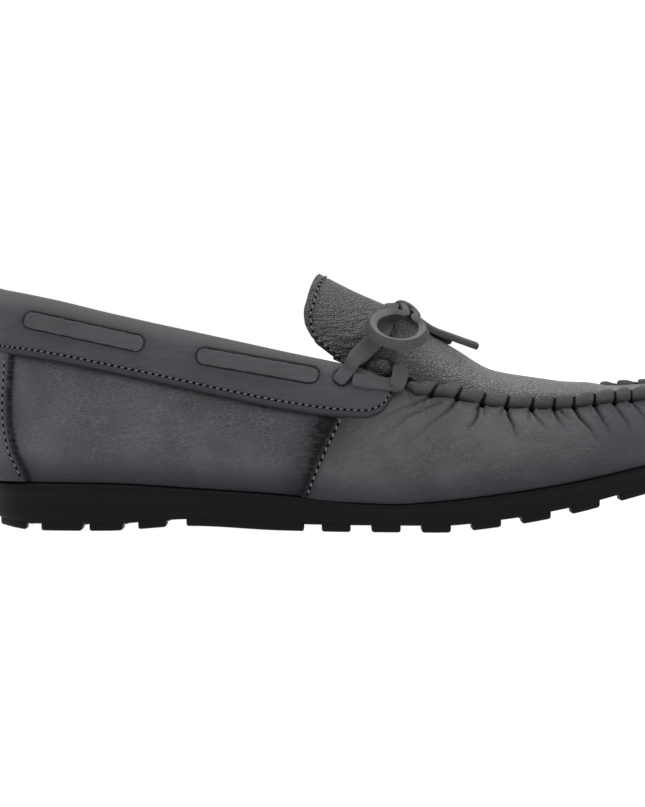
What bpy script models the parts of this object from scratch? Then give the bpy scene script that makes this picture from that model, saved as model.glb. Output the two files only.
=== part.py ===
"""Moccasin loafer for the right foot: a leather upper gathered to a raised plug, on a lugged rubber sole.

The toe points along +X and the outer side of the foot faces -Y. Sizes are in millimetres and become metres
where a mesh is made. A station is the distance in front of the rearmost point of the heel.
"""

import math
from collections import namedtuple

import bmesh
import bpy
import numpy as np
from mathutils import Matrix, Vector

MM = 0.001

# Driving sizes
GAP = 0.3                # air between pieces that meet
WALL = 2.2               # upper leather with its lining
TONGUE_WALL = 2.4
BAND_THICK = 1.6         # folded collar band
BAND_GAP = 0.6           # air under the band, more where the wall is sharply curved
BAND_OUT = BAND_GAP + BAND_THICK
THROAT_GAP = 1.0         # between the tongue's root and the plug
STRAP_THICK = 1.3        # heel back strap
LACE_WIDTH = 6.4
LACE_THICK = 2.0
CORD_THICK = 3.0         # round stand-in for the flat lace where it hangs free
THROAT_STATION = 163.0   # corner where collar and plug seam meet
RIDGE_RISE = 1.6         # how far the gathered seam stands proud
RIDGE_SPREAD = 3.5
RIDGE_SETBACK = 0.015    # share of the way round by which it starts in front of the throat corner
SOLE_LIP = 1.5           # sole edge beyond the line where the upper meets it
LUG_HEIGHT = 2.6
LUG_ROOT = 1.6           # depth of a lug's root inside the sole
LUG_INSET = 0.8          # side face of a lug behind the sole's edge
LUG_REACH = 17.0         # width of an edge lug towards the middle
EDGE_LUG_SHARE = 0.36    # most of the sole's width that an edge lug takes
CENTRE_LUG_HALF = 8.0
LUG_CLEAR = 2.0          # between a centre lug and the edge lugs
FORE_LUG_START = 135.4
FORE_LUG_PITCH = 19.3
FORE_LUG_LENGTH = 11.2
FORE_LUG_COUNT = 8
INSOLE_HEEL = 6.0
INSOLE_TOE = 4.0
INSOLE_CLEAR = 0.6
TONGUE_MID = -1.85       # centre line of tongue and bow across the shoe
KNOT_STATION = 168.6
KNOT_LIFT = 2.55
KNOT_RADII = (5.2, 4.6, 2.0)
KNOT_TILT = 37.0         # degrees that the knot leans down the slope of the instep

# Grid columns round the upper: the heel is column 0 and the toe is half way round
RING_COLUMNS = 80
REAR_COLUMNS = 22        # heel to throat corner on each side
WALL_ROWS = 9
PLUG_ROWS = 10
BAND_ROWS = 4
STRAP_GRID = (14, 6)
BAR_GRID = (12, 2)
TONGUE_GRID = (9, 12)
INSOLE_GRID = (36, 4)
SOLE_GRID = (40, 6)
SEAM_POINTS = 121
SEARCH_POINTS = 41       # where a height or a station is looked up
SIDE_POINTS = 161
ROUTE_POINTS = 12        # between two points of a lace route
SHARP_ANGLE = 40.0       # degrees from which an edge is shaded sharp
WELD = 0.00001

# Steps to either side for slopes: along the outline in millimetres, round the shoe and up the wall as shares
OUTLINE_STEP = 0.5
ROUND_STEP = 0.0005
UP_STEP = 0.005

# The wall is a cubic between feather and top edge. These weigh how its two inner handles swell with the bulge,
# lean in with the top edge and stand up the wall.
FOOT_SWELL = 2.4
FOOT_RISE = 0.30
HEAD_SWELL = 0.8
HEAD_LEAN = 0.35
HEAD_RISE = 0.66
HEAD_ROUNDING = 0.2

# The last. Lateral and medial are half widths of the line where the upper meets the sole, feather is that line's
# height, ground is the underside of the lugs, the tops are the collar or the plug seam on either side, and lean
# is how far that top edge lies inside the feather line. Bulge swells the wall outwards and shoulder rounds it
# over near the top.
Section = namedtuple(
    "Section",
    "station lateral medial feather ground top_lateral top_medial lean_lateral lean_medial bulge shoulder",
)
SECTIONS = [
    Section(4.0, 0.0, 0.0, 18.9, 4.0, 95.0, 95.0, 3.0, 3.0, 4.0, 0.0),
    Section(9.0, 15.0, 15.0, 18.9, 2.0, 94.0, 94.0, 3.0, 3.0, 4.0, 0.0),
    Section(24.0, 27.0, 26.5, 19.0, 0.0, 91.3, 91.3, 2.5, 2.5, 4.0, 0.0),
    Section(50.0, 31.5, 30.0, 18.8, 0.0, 85.3, 85.3, 2.5, 1.5, 4.0, 0.0),
    Section(85.0, 33.0, 27.5, 16.9, 2.0, 77.8, 77.3, 3.5, -0.5, 4.0, 0.0),
    Section(120.0, 36.0, 26.0, 14.6, 0.4, 70.0, 69.1, 6.0, -2.0, 4.0, 0.0),
    Section(150.0, 40.5, 29.0, 11.6, 0.0, 63.2, 62.3, 9.8, 2.0, 4.0, 0.3),
    Section(163.0, 42.3, 32.0, 11.2, 0.0, 57.5, 57.5, 12.2, 5.0, 4.2, 0.6),
    Section(180.0, 44.5, 37.0, 12.4, 0.0, 56.5, 56.5, 15.0, 10.0, 4.5, 1.0),
    Section(205.0, 45.5, 43.0, 15.4, 2.4, 52.3, 52.8, 16.5, 15.5, 4.5, 1.0),
    Section(230.0, 42.0, 44.5, 19.3, 6.6, 51.5, 52.6, 16.5, 17.0, 4.5, 1.0),
    Section(255.0, 34.0, 40.5, 24.4, 12.7, 53.8, 56.2, 16.0, 16.5, 4.5, 1.0),
    Section(275.0, 23.5, 34.0, 29.0, 18.0, 55.0, 57.2, 16.5, 16.5, 4.5, 1.0),
    Section(287.0, 11.0, 23.0, 32.0, 22.0, 55.5, 56.6, 17.5, 17.5, 4.5, 1.0),
    Section(291.5, -6.0, 6.0, 33.2, 23.5, 55.7, 55.7, 18.5, 18.5, 4.5, 1.0),
]

# Rise of the plug's centre above its seam, and how its cross section fills out: 1 is an ellipse, 2 a parabola
Crown = namedtuple("Crown", "station rise fill")
CROWNS = [
    Crown(160.0, 30.2, 1.1),
    Crown(164.0, 29.3, 1.1),
    Crown(177.0, 20.7, 1.3),
    Crown(190.0, 14.6, 1.6),
    Crown(203.0, 9.8, 1.8),
    Crown(226.0, 6.6, 2.0),
    Crown(240.0, 4.1, 2.0),
    Crown(256.0, -0.3, 2.0),
    Crown(274.0, 0.0, 2.0),
]

# Tongue sections: half width, height of the side edges and height of the centre
Flap = namedtuple("Flap", "station half edge peak")
FLAPS = [
    Flap(126.0, 24.0, 73.0, 104.6),
    Flap(134.0, 25.0, 69.3, 100.9),
    Flap(144.0, 25.6, 64.8, 95.8),
    Flap(150.0, 25.8, 61.8, 92.9),
    Flap(163.0, 25.6, 57.5, 87.2),
    Flap(172.0, 25.4, 55.0, 80.8),
]
FLAP_FILL = 1.1

# Free end of the tongue from its centre (0) to its side edges (1)
FLAP_END = [(0.0, 134.5), (0.45, 132.3), (0.78, 129.7), (0.9, 128.4), (0.945, 128.7), (0.982, 131.2), (1.0, 140.0)]

# Lower edge of the collar band
BAND_EDGE = [
    (0.0, 69.8),
    (17.0, 68.3),
    (60.0, 60.1),
    (102.0, 51.0),
    (124.0, 46.7),
    (146.0, 43.9),
    (152.0, 43.7),
    (158.0, 45.7),
    (163.0, 52.0),
]

# Back strap: half width round the heel at its foot and at the collar band
STRAP_FOOT_HALF = 33.0
STRAP_TOP_HALF = 26.0
STRAP_FOOT_SHARE = 0.05    # how far up the wall the strap starts

# Stretches of lace and seam thong that lie on the collar band
Bar = namedtuple("Bar", "name start_station start_height end_station end_height width gap")
BARS = [
    Bar("lace_bar_rear", 20.2, 82.2, 66.2, 71.9, LACE_WIDTH, GAP),
    Bar("lace_bar_front", 86.8, 67.9, 133.6, 59.3, LACE_WIDTH, GAP),
    Bar("seam_thong", 147.4, 57.0, 161.6, 54.3, 4.6, 2 * GAP),
]
BAR_ROUNDING = 0.8       # how much of its width a bar loses at its ends

# Edge lugs under heel and waist
REAR_LUGS = [(9.0, 20.0), (26.0, 42.0), (45.0, 58.0), (64.0, 75.0), (82.8, 128.6)]
CENTRE_LUGS = [
    (30.0, 41.0),
    (46.5, 56.5),
    (137.0, 145.0),
    (156.0, 165.0),
    (175.0, 184.0),
    (194.0, 203.0),
    (213.0, 222.0),
]

# Lace over the throat: station and height of the strand where it leaves the band's last hole, and then its
# points up to the knot on the outer side
STRAND_ON_BAND = [(142.2, 58.4), (144.6, 61.4)]
STRAND = [
    (147.4, -37.4, 65.8),
    (149.8, -33.6, 68.2),
    (152.2, -29.6, 70.3),
    (155.4, -27.2, 73.4),
    (158.6, -24.2, 77.5),
    (161.2, -18.8, 82.6),
    (163.0, -12.2, 86.5),
    (163.8, -8.4, 87.9),
]
# Bow loop: a ring of lace beside the knot that stands on edge, and the ends that join it to the knot
LOOP_CENTRE = (164.9, -30.4, 78.6)
LOOP_AXIS = (0.10, -0.567, 0.818)
LOOP_RADIUS = 10.4
LOOP_ANGLES = range(70, 407, 24)
LOOP_START = [(167.3, -7.0, 87.3), (167.8, -13.0, 86.6)]
LOOP_END = [(172.8, -14.0, 83.6), (171.6, -7.2, 85.0)]
# Tails of the bow: station, place across the shoe and lift above the plug
TAIL_LATERAL = [(172.6, -4.4, 2.7), (179.0, -3.6, 2.4), (186.5, -1.8, 3.8), (198.0, 0.8, 7.1)]
TAIL_MEDIAL = [(172.6, 0.6, 2.7), (179.0, 2.0, 1.9), (183.0, 3.1, 2.0), (187.2, 4.5, 2.2)]


def monotone(places, values):
    """Smooth curve through the points that never overshoots them and is level at both ends."""
    x = np.array(places, float)
    y = np.array(values, float)
    step = np.diff(x)
    slope = np.diff(y) / step
    tangent = np.zeros(len(x))
    for i in range(1, len(x) - 1):
        if slope[i - 1] * slope[i] > 0:
            tangent[i] = 2 * slope[i - 1] * slope[i] / (slope[i - 1] + slope[i])

    def curve(at):
        at = min(max(at, x[0]), x[-1])
        i = min(int(np.searchsorted(x, at, side="right")) - 1, len(step) - 1)
        f = (at - x[i]) / step[i]
        start = (1 + 2 * f) * (1 - f) ** 2 * y[i] + f * (1 - f) ** 2 * step[i] * tangent[i]
        end = f * f * (3 - 2 * f) * y[i + 1] + f * f * (f - 1) * step[i] * tangent[i + 1]
        return start + end

    return curve


def closed_spline(points):
    """Closed cubic spline through plan points, with its knots spaced by chord length."""
    p = np.array(points, float)
    count = len(p)
    step = np.linalg.norm(np.roll(p, -1, axis=0) - p, axis=1)
    knots = np.concatenate([[0.0], np.cumsum(step)])
    matrix = np.zeros((count, count))
    pull = np.zeros((count, 2))
    for i in range(count):
        after = (i + 1) % count
        matrix[i, i - 1] += step[i - 1]
        matrix[i, i] += 2 * (step[i - 1] + step[i])
        matrix[i, after] += step[i]
        pull[i] = 6 * ((p[after] - p[i]) / step[i] - (p[i] - p[i - 1]) / step[i - 1])
    bend = np.linalg.solve(matrix, pull)

    def curve(t):
        t = t % knots[-1]
        i = min(int(np.searchsorted(knots, t, side="right")) - 1, count - 1)
        after = (i + 1) % count
        b = (t - knots[i]) / step[i]
        a = 1 - b
        swing = (a ** 3 - a) * bend[i] + (b ** 3 - b) * bend[after]
        return a * p[i] + b * p[after] + swing * step[i] ** 2 / 6

    return curve, knots


def column(name, places):
    """Values of one section column as a smooth curve over the given places."""
    return monotone(places, [getattr(row, name) for row in SECTIONS])


STATIONS = [row.station for row in SECTIONS]
LATERAL_NODES = [(row.station, -row.lateral) for row in SECTIONS]
MEDIAL_NODES = [(row.station, row.medial) for row in reversed(SECTIONS[1:-1])]
outline, KNOTS = closed_spline(LATERAL_NODES + MEDIAL_NODES)
LATERAL_KNOTS = KNOTS[: len(SECTIONS)]
MEDIAL_KNOTS = KNOTS[len(SECTIONS) - 1 :]
THROAT_ROW = STATIONS.index(THROAT_STATION)
LATERAL_THROAT = LATERAL_KNOTS[THROAT_ROW]
MEDIAL_THROAT = MEDIAL_KNOTS[len(SECTIONS) - 1 - THROAT_ROW]
TOE_KNOT = LATERAL_KNOTS[-1]
REAR_SHARE = REAR_COLUMNS / RING_COLUMNS
RING_SHARES = [0.0, REAR_SHARE, 0.5, 1 - REAR_SHARE, 1.0]
RING_KNOTS = [0.0, LATERAL_THROAT, TOE_KNOT, MEDIAL_THROAT, KNOTS[-1]]

feather = column("feather", STATIONS)
ground = column("ground", STATIONS)
crown_rise = monotone([row.station for row in CROWNS], [row.rise for row in CROWNS])
crown_fill = monotone([row.station for row in CROWNS], [row.fill for row in CROWNS])
flap_half = monotone([row.station for row in FLAPS], [row.half for row in FLAPS])
flap_edge = monotone([row.station for row in FLAPS], [row.edge for row in FLAPS])
flap_peak = monotone([row.station for row in FLAPS], [row.peak for row in FLAPS])
flap_end = monotone(*zip(*FLAP_END))
band_edge = monotone(*zip(*BAND_EDGE))


def round_the_shoe(lateral_name, medial_name):
    """One value round the whole outline, from a column for each side."""
    lateral = monotone(LATERAL_KNOTS, [getattr(row, lateral_name) for row in SECTIONS])
    medial = monotone(MEDIAL_KNOTS, [getattr(row, medial_name) for row in reversed(SECTIONS)])
    return lambda t: lateral(t) if t <= TOE_KNOT else medial(t)


top_height = round_the_shoe("top_lateral", "top_medial")
lean = round_the_shoe("lean_lateral", "lean_medial")
bulge = round_the_shoe("bulge", "bulge")
shoulder = round_the_shoe("shoulder", "shoulder")


def outline_point(share, grow=0.0):
    """Plan point of the feather line, moved outwards by grow; share runs round from the heel."""
    t = float(np.interp(share % 1.0, RING_SHARES, RING_KNOTS))
    x, y = outline(t)
    ahead = outline(t + OUTLINE_STEP) - outline(t - OUTLINE_STEP)
    ahead = ahead / np.linalg.norm(ahead)
    return t, np.array([x + ahead[1] * grow, y - ahead[0] * grow]), np.array([ahead[1], -ahead[0]])


def wall_profile(t, station, h):
    """Offset beyond the feather line and rise above it, on a cubic from the feather (0) to the top edge (1)."""
    height = top_height(t) - feather(station)
    swell = bulge(t)
    inward = lean(t)
    low, high = 3 * (1 - h) ** 2 * h, 3 * (1 - h) * h * h
    offset = low * FOOT_SWELL * swell + high * (HEAD_SWELL * swell - HEAD_LEAN * inward) - h ** 3 * inward
    rise = height * (low * FOOT_RISE + high * (HEAD_RISE + HEAD_ROUNDING * shoulder(t)) + h ** 3)
    return offset, rise


def wall_surface(share, h):
    """Outer face of the upper's wall."""
    t, plan, outward = outline_point(share)
    offset, rise = wall_profile(t, plan[0], h)
    x, y = plan + outward * offset
    return np.array([x, y, feather(plan[0]) + rise])


def wall(share, h, out=0.0):
    """Point of the upper's wall, moved out along the wall's own normal."""
    point = wall_surface(share, h)
    if out:
        along = wall_surface(share + ROUND_STEP, h) - wall_surface(share - ROUND_STEP, h)
        up = wall_surface(share, min(h + UP_STEP, 1.0)) - wall_surface(share, max(h - UP_STEP, 0.0))
        normal = np.cross(along, up)
        point = point + normal / np.linalg.norm(normal) * out
    return point


def wall_share_up(share, height):
    """How far up the wall, from 0 to 1, a given height above the floor lies."""
    steps = np.linspace(0.0, 1.0, SEARCH_POINTS)
    t, plan, _ = outline_point(share)
    heights = [feather(plan[0]) + wall_profile(t, plan[0], h)[1] for h in steps]
    return float(np.interp(height, heights, steps))


def side_share(station, side):
    """Place round the shoe of a station on the lateral (-1) or medial (1) side."""
    shares = np.linspace(0.0, 0.5, SIDE_POINTS)
    if side > 0:
        shares = 1.0 - shares
    stations = [outline_point(share)[1][0] for share in shares]
    return float(np.interp(station, stations, shares))


def arch(half_width, rise, fill, v):
    """Place across and above the edges of an arched sheet, v running from edge to edge."""
    angle = (v - 0.5) * math.pi
    return half_width * math.sin(angle), rise * max(math.cos(angle), 0.0) ** fill


def plug(a, v):
    """Outer face of the plug: a runs from throat to toe and v from the lateral to the medial seam."""
    share = REAR_SHARE + (0.5 - REAR_SHARE) * a
    lateral = wall_surface(share, 1.0)
    medial = wall_surface(1.0 - share, 1.0)
    middle = (lateral + medial) / 2
    across, rise = arch(1.0, crown_rise(middle[0]), crown_fill(middle[0]), v)
    return middle + (medial - lateral) / 2 * across + np.array([0.0, 0.0, rise])


def tongue(a, v):
    """Outer face of the tongue: a runs from its free end to the throat."""
    across, _ = arch(1.0, 0.0, 1.0, v)
    start = flap_end(abs(across))
    x = start + (plug(0.0, v)[0] - THROAT_GAP - start) * a
    side, rise = arch(flap_half(x), flap_peak(x) - flap_edge(x), FLAP_FILL, v)
    return np.array([x, TONGUE_MID + side, flap_edge(x) + rise])


def crest(station, y):
    """Height of tongue or plug under a plan point."""
    if station < THROAT_STATION:
        across = (y - TONGUE_MID) / flap_half(station)
        edge, rise, fill = flap_edge(station), flap_peak(station) - flap_edge(station), FLAP_FILL
    else:
        steps = np.linspace(0.0, 1.0, SEARCH_POINTS)
        middles = [plug(a, 0.5)[0] for a in steps]
        a = float(np.interp(station, middles, steps))
        lateral, medial = plug(a, 0.0), plug(a, 1.0)
        across = (2 * y - lateral[1] - medial[1]) / (medial[1] - lateral[1])
        edge, rise, fill = lateral[2], crown_rise(station), crown_fill(station)
    return edge + rise * math.sqrt(max(1 - across * across, 0.0)) ** fill


def across_sole(q, v, grow, height):
    """Point of a sheet that fills the outline: q runs from heel to toe and v from lateral to medial."""
    lateral = outline_point(q / 2, grow)[1]
    medial = outline_point(1 - q / 2, grow)[1]
    x, y = lateral + (medial - lateral) * v
    return np.array([x, y, height(x)])


def sheet(columns, rows, place):
    """Grid whose corners place(u, v) puts in space, u and v running from 0 to 1."""
    bm = bmesh.new()
    bmesh.ops.create_grid(bm, x_segments=columns, y_segments=rows, size=0.5)
    for vert in bm.verts:
        vert.co = Vector(place(vert.co.x + 0.5, vert.co.y + 0.5)) * MM
    bmesh.ops.remove_doubles(bm, verts=bm.verts, dist=WELD)
    bm.normal_update()
    return bm


def thicken(bm, thickness):
    """Give an open sheet a wall on its inner side."""
    bmesh.ops.solidify(bm, geom=bm.faces[:], thickness=thickness * MM)
    bm.normal_update()


def drop(bm, height):
    """Close a sheet into a slab whose underside lies at height(station)."""
    grown = bmesh.ops.extrude_face_region(bm, geom=bm.faces[:])["geom"]
    for vert in [item for item in grown if isinstance(item, bmesh.types.BMVert)]:
        vert.co.z = height(vert.co.x / MM) * MM
    bmesh.ops.recalc_face_normals(bm, faces=bm.faces[:])


def finish_part(name, bm, material, parent, collection):
    """Turn a bmesh into a named part of the shoe."""
    mesh = bpy.data.meshes.new(name)
    bm.to_mesh(mesh)
    bm.free()
    mesh.shade_smooth()
    mesh.set_sharp_from_angle(angle=math.radians(SHARP_ANGLE))
    part = bpy.data.objects.new(name, mesh)
    part.data.materials.append(material)
    part.parent = parent
    collection.objects.link(part)
    return part


def make_material(name, colour, roughness):
    """Principled material with a colour and a roughness."""
    material = bpy.data.materials.new(name)
    material.use_nodes = True
    shader = material.node_tree.nodes["Principled BSDF"]
    shader.inputs["Base Color"].default_value = (*colour, 1.0)
    shader.inputs["Roughness"].default_value = roughness
    shader.inputs["Metallic"].default_value = 0.0
    return material


def build_upper():
    """Vamp, quarters and plug as one hollow wall with a raised seam."""
    bm = sheet(RING_COLUMNS, WALL_ROWS, wall_surface)
    cap = sheet(RING_COLUMNS // 2 - REAR_COLUMNS, PLUG_ROWS, plug)
    cap_mesh = bpy.data.meshes.new("plug")
    cap.to_mesh(cap_mesh)
    cap.free()
    bm.from_mesh(cap_mesh)
    bpy.data.meshes.remove(cap_mesh)
    bmesh.ops.remove_doubles(bm, verts=bm.verts, dist=WELD)
    bm.normal_update()
    start = REAR_SHARE + RIDGE_SETBACK
    seam = [Vector(wall_surface(share, 1.0)) * MM for share in np.linspace(start, 1 - start, SEAM_POINTS)]
    proud = {}
    for vert in bm.verts:
        distance = min((vert.co - point).length for point in seam)
        rise = RIDGE_RISE * MM * math.exp(-((distance / (RIDGE_SPREAD * MM)) ** 2))
        proud[vert] = vert.normal * rise
    thicken(bm, WALL)
    for vert, move in proud.items():
        vert.co += move
    return bm


def build_band():
    """Collar band from one throat corner round the heel to the other."""

    def place(u, v):
        share = (2 * u - 1) * REAR_SHARE
        station = outline_point(share)[1][0]
        low = wall_share_up(share, band_edge(station))
        return wall(share, low + (1 - low) * v, BAND_OUT)

    bm = sheet(2 * REAR_COLUMNS, BAND_ROWS, place)
    thicken(bm, BAND_THICK)
    return bm


def build_strap():
    """Back strap from the sole up to the collar band."""

    def place(u, v):
        half = STRAP_FOOT_HALF + (STRAP_TOP_HALF - STRAP_FOOT_HALF) * v
        share = (2 * u - 1) * half / LATERAL_THROAT * REAR_SHARE
        station = outline_point(share)[1][0]
        high = wall_share_up(share, band_edge(station) - 2 * GAP)
        return wall(share, STRAP_FOOT_SHARE + (high - STRAP_FOOT_SHARE) * v, GAP + STRAP_THICK)

    bm = sheet(*STRAP_GRID, place)
    thicken(bm, STRAP_THICK)
    return bm


def build_bar(bar, side):
    """Flat stretch of lace on the outside of the collar band, with rounded ends."""
    length = bar.end_station - bar.start_station
    out = BAND_OUT + bar.gap + LACE_THICK

    def place(u, v):
        along = u if side < 0 else 1 - u
        from_end = min(along, 1 - along) * length
        round_off = max(1 - 2 * from_end / bar.width, 0.0)
        width = bar.width * math.sqrt(1 - BAR_ROUNDING * round_off ** 2)
        height = bar.start_height + (bar.end_height - bar.start_height) * along + (v - 0.5) * width
        share = side_share(bar.start_station + length * along, side)
        return wall(share, wall_share_up(share, height), out)

    bm = sheet(*BAR_GRID, place)
    thicken(bm, LACE_THICK)
    return bm


def build_tongue():
    """Arched flap behind the throat line."""
    bm = sheet(*TONGUE_GRID, tongue)
    thicken(bm, TONGUE_WALL)
    return bm


def build_insole():
    """Footbed inside the upper, thicker under the heel."""

    def upper_face(x):
        share = min(max(x / STATIONS[-1], 0.0), 1.0)
        return feather(x) + INSOLE_HEEL + (INSOLE_TOE - INSOLE_HEEL) * share

    bm = sheet(*INSOLE_GRID, lambda q, v: across_sole(q, v, -WALL - INSOLE_CLEAR, upper_face))
    drop(bm, feather)
    return bm


def build_sole_plate():
    """Sole without its lugs."""
    bm = sheet(*SOLE_GRID, lambda q, v: across_sole(q, v, SOLE_LIP, lambda x: feather(x) - GAP))
    drop(bm, lambda x: ground(x) + LUG_HEIGHT)
    return bm


def sole_edge(station, side):
    """Place across the shoe of the sole's edge on the lateral (-1) or medial (1) side."""
    return outline_point(side_share(station, side), SOLE_LIP)[1][1]


def sole_width(station):
    """Width of the sole at a station."""
    return sole_edge(station, 1) - sole_edge(station, -1)


def add_lug(bm, start, end, inner, outer):
    """Block under the sole between two stations; inner and outer give its sides at a station."""
    corners = bmesh.ops.create_cube(bm, size=1.0)["verts"]
    for vert in corners:
        x = end if vert.co.x > 0 else start
        y = outer(x) if vert.co.y > 0 else inner(x)
        z = ground(x) + (LUG_HEIGHT + LUG_ROOT if vert.co.z > 0 else 0.0)
        vert.co = Vector((x, y, z)) * MM


def build_lugs():
    """All lugs as blocks that root in the sole."""
    bm = bmesh.new()
    fore = [FORE_LUG_START + i * FORE_LUG_PITCH for i in range(FORE_LUG_COUNT)]
    edge_lugs = REAR_LUGS + [(start, start + FORE_LUG_LENGTH) for start in fore]
    for start, end in edge_lugs:
        for side in (-1, 1):
            outer = lambda x: sole_edge(x, side) - side * LUG_INSET
            reach = min(LUG_REACH, EDGE_LUG_SHARE * min(sole_width(start), sole_width(end)))
            inner = lambda x: outer(x) - side * reach
            add_lug(bm, start, end, inner, outer)
    for start, end in CENTRE_LUGS:
        middle = lambda x: (sole_edge(x, -1) + sole_edge(x, 1)) / 2
        half = min(CENTRE_LUG_HALF, sole_width(end) / 2 - LUG_INSET - LUG_REACH - LUG_CLEAR)
        add_lug(bm, start, end, lambda x: middle(x) - half, lambda x: middle(x) + half)
    bmesh.ops.recalc_face_normals(bm, faces=bm.faces[:])
    return bm


def smooth_route(points, spacing):
    """Points every so often on a smooth open curve through the route's own points."""
    p = [np.array(point, float) for point in points]
    p = [2 * p[0] - p[1]] + p + [2 * p[-1] - p[-2]]
    dense = []
    for i in range(1, len(p) - 2):
        for f in np.linspace(0.0, 1.0, ROUTE_POINTS, endpoint=False):
            pull = 2 * p[i - 1] - 5 * p[i] + 4 * p[i + 1] - p[i + 2]
            twist = 3 * p[i] - p[i - 1] - 3 * p[i + 1] + p[i + 2]
            dense.append(p[i] + 0.5 * (f * (p[i + 1] - p[i - 1]) + f * f * pull + f ** 3 * twist))
    dense = np.array(dense + [p[-2]])
    run = np.concatenate([[0.0], np.cumsum(np.linalg.norm(np.diff(dense, axis=0), axis=1))])
    stops = np.linspace(0.0, run[-1], max(int(round(run[-1] / spacing)), 3) + 1)
    return np.stack([np.interp(stops, run, dense[:, k]) for k in range(3)], axis=1)


def build_cord(name, route, material, parent, collection):
    """Round tube along a stretch of lace that hangs free."""
    curve = bpy.data.curves.new(name, "CURVE")
    curve.dimensions = "3D"
    curve.bevel_depth = CORD_THICK / 2 * MM
    curve.bevel_resolution = 2
    curve.use_fill_caps = True
    points = smooth_route(route, CORD_THICK)
    spline = curve.splines.new("POLY")
    spline.points.add(len(points) - 1)
    for place, point in zip(spline.points, points):
        place.co = (*(point * MM), 1.0)
    curve.materials.append(material)
    part = bpy.data.objects.new(name, curve)
    part.parent = parent
    collection.objects.link(part)
    return part


def build_knot():
    """Rounded knot of the bow, standing on the plug's root."""
    bm = bmesh.new()
    centre = Vector((KNOT_STATION, TONGUE_MID, crest(KNOT_STATION, TONGUE_MID) + KNOT_LIFT))
    ball = bmesh.ops.create_uvsphere(bm, u_segments=12, v_segments=8, radius=1.0)["verts"]
    bmesh.ops.scale(bm, vec=KNOT_RADII, verts=ball)
    bmesh.ops.rotate(bm, verts=ball, matrix=Matrix.Rotation(math.radians(KNOT_TILT), 3, "Y"))
    for vert in ball:
        vert.co = (vert.co + centre) * MM
    return bm


def lifted(route):
    """Route given as station, place across and lift, as points in space."""
    return [(x, y, crest(x, y) + lift) for x, y, lift in route]


def strand_route(side):
    """Lace from the last hole of the band, over the collar and up the tongue to the knot."""
    out = BAND_OUT + GAP + CORD_THICK / 2
    on_band = []
    for station, height in STRAND_ON_BAND:
        share = side_share(station, side)
        on_band.append(tuple(wall(share, wall_share_up(share, height), out)))
    return on_band + (STRAND if side < 0 else mirrored(STRAND))


def loop_route():
    """Lace from the knot round the ring of the outer bow loop and back."""
    axis = Vector(LOOP_AXIS).normalized()
    along = (Vector((1.0, 0.0, 0.0)) - axis * axis.x).normalized()
    upward = axis.cross(along)
    ring = []
    for angle in LOOP_ANGLES:
        turn = math.radians(angle)
        spoke = along * math.cos(turn) + upward * math.sin(turn)
        ring.append(tuple(Vector(LOOP_CENTRE) + spoke * LOOP_RADIUS))
    return LOOP_START + ring + LOOP_END


def mirrored(route):
    """Route on the other side of the tongue's centre line."""
    return [(x, 2 * TONGUE_MID - y, third) for x, y, third in route]


def centre_on_origin(root, parts):
    """Move the shoe so that its box stands on the origin."""
    bpy.context.view_layer.update()
    graph = bpy.context.evaluated_depsgraph_get()
    corners = []
    for part in parts:
        mesh = part.evaluated_get(graph).to_mesh()
        corners += [vert.co.copy() for vert in mesh.vertices]
    middle = [(min(c[k] for c in corners) + max(c[k] for c in corners)) / 2 for k in range(2)]
    root.location = (-middle[0], -middle[1], 0.0)


def main():
    """Build every part of the shoe."""
    for old in list(bpy.data.objects):
        bpy.data.objects.remove(old, do_unlink=True)
    shoe = bpy.data.collections.new("moccasin_loafer")
    cutters = bpy.data.collections.new("cutters")
    for collection in (shoe, cutters):
        bpy.context.scene.collection.children.link(collection)
    root = bpy.data.objects.new("shoe_root", None)
    shoe.objects.link(root)

    leather = make_material("grey_leather", (0.072, 0.077, 0.088), 0.55)
    band_leather = make_material("band_leather", (0.062, 0.066, 0.076), 0.7)
    lace_leather = make_material("lace_leather", (0.080, 0.084, 0.092), 0.75)
    rubber = make_material("black_rubber", (0.009, 0.009, 0.010), 0.45)
    lining = make_material("lining_leather", (0.10, 0.10, 0.105), 0.8)

    outsole = finish_part("outsole", build_sole_plate(), rubber, root, shoe)
    lugs = finish_part("lug_blocks", build_lugs(), rubber, root, cutters)
    lugs.hide_render = True
    lugs.display_type = "WIRE"
    union = outsole.modifiers.new("lugs", "BOOLEAN")
    union.operation = "UNION"
    union.object = lugs

    solids = [
        outsole,
        finish_part("insole", build_insole(), lining, root, shoe),
        finish_part("upper", build_upper(), leather, root, shoe),
        finish_part("tongue", build_tongue(), leather, root, shoe),
        finish_part("collar_band", build_band(), band_leather, root, shoe),
        finish_part("back_strap", build_strap(), leather, root, shoe),
    ]
    for bar in BARS:
        for side, word in ((-1, "lateral"), (1, "medial")):
            solids.append(finish_part(f"{bar.name}_{word}", build_bar(bar, side), lace_leather, root, shoe))

    finish_part("bow_knot", build_knot(), lace_leather, root, shoe)
    cords = {
        "lace_strand_lateral": strand_route(-1),
        "lace_strand_medial": strand_route(1),
        "bow_loop_lateral": loop_route(),
        "bow_loop_medial": mirrored(loop_route()),
        "lace_tail_lateral": lifted(TAIL_LATERAL),
        "lace_tail_medial": lifted(TAIL_MEDIAL),
    }
    for name, route in cords.items():
        build_cord(name, route, lace_leather, root, shoe)
    centre_on_origin(root, solids)


main()
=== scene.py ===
"""Looks of the moccasin loafer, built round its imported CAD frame.

The leather pieces are fine sheets on the same last as the CAD upper. Sizes are in millimetres in the shoe's
own places: a station is the distance in front of the rearmost point of the heel, the outer side of the foot
is -Y (lateral) and heights stand on the floor. They become metres of the row frame where a mesh is made.
"""

import math
from collections import namedtuple

import bmesh
import bpy
import numpy as np
from mathutils import Matrix, Vector


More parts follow.
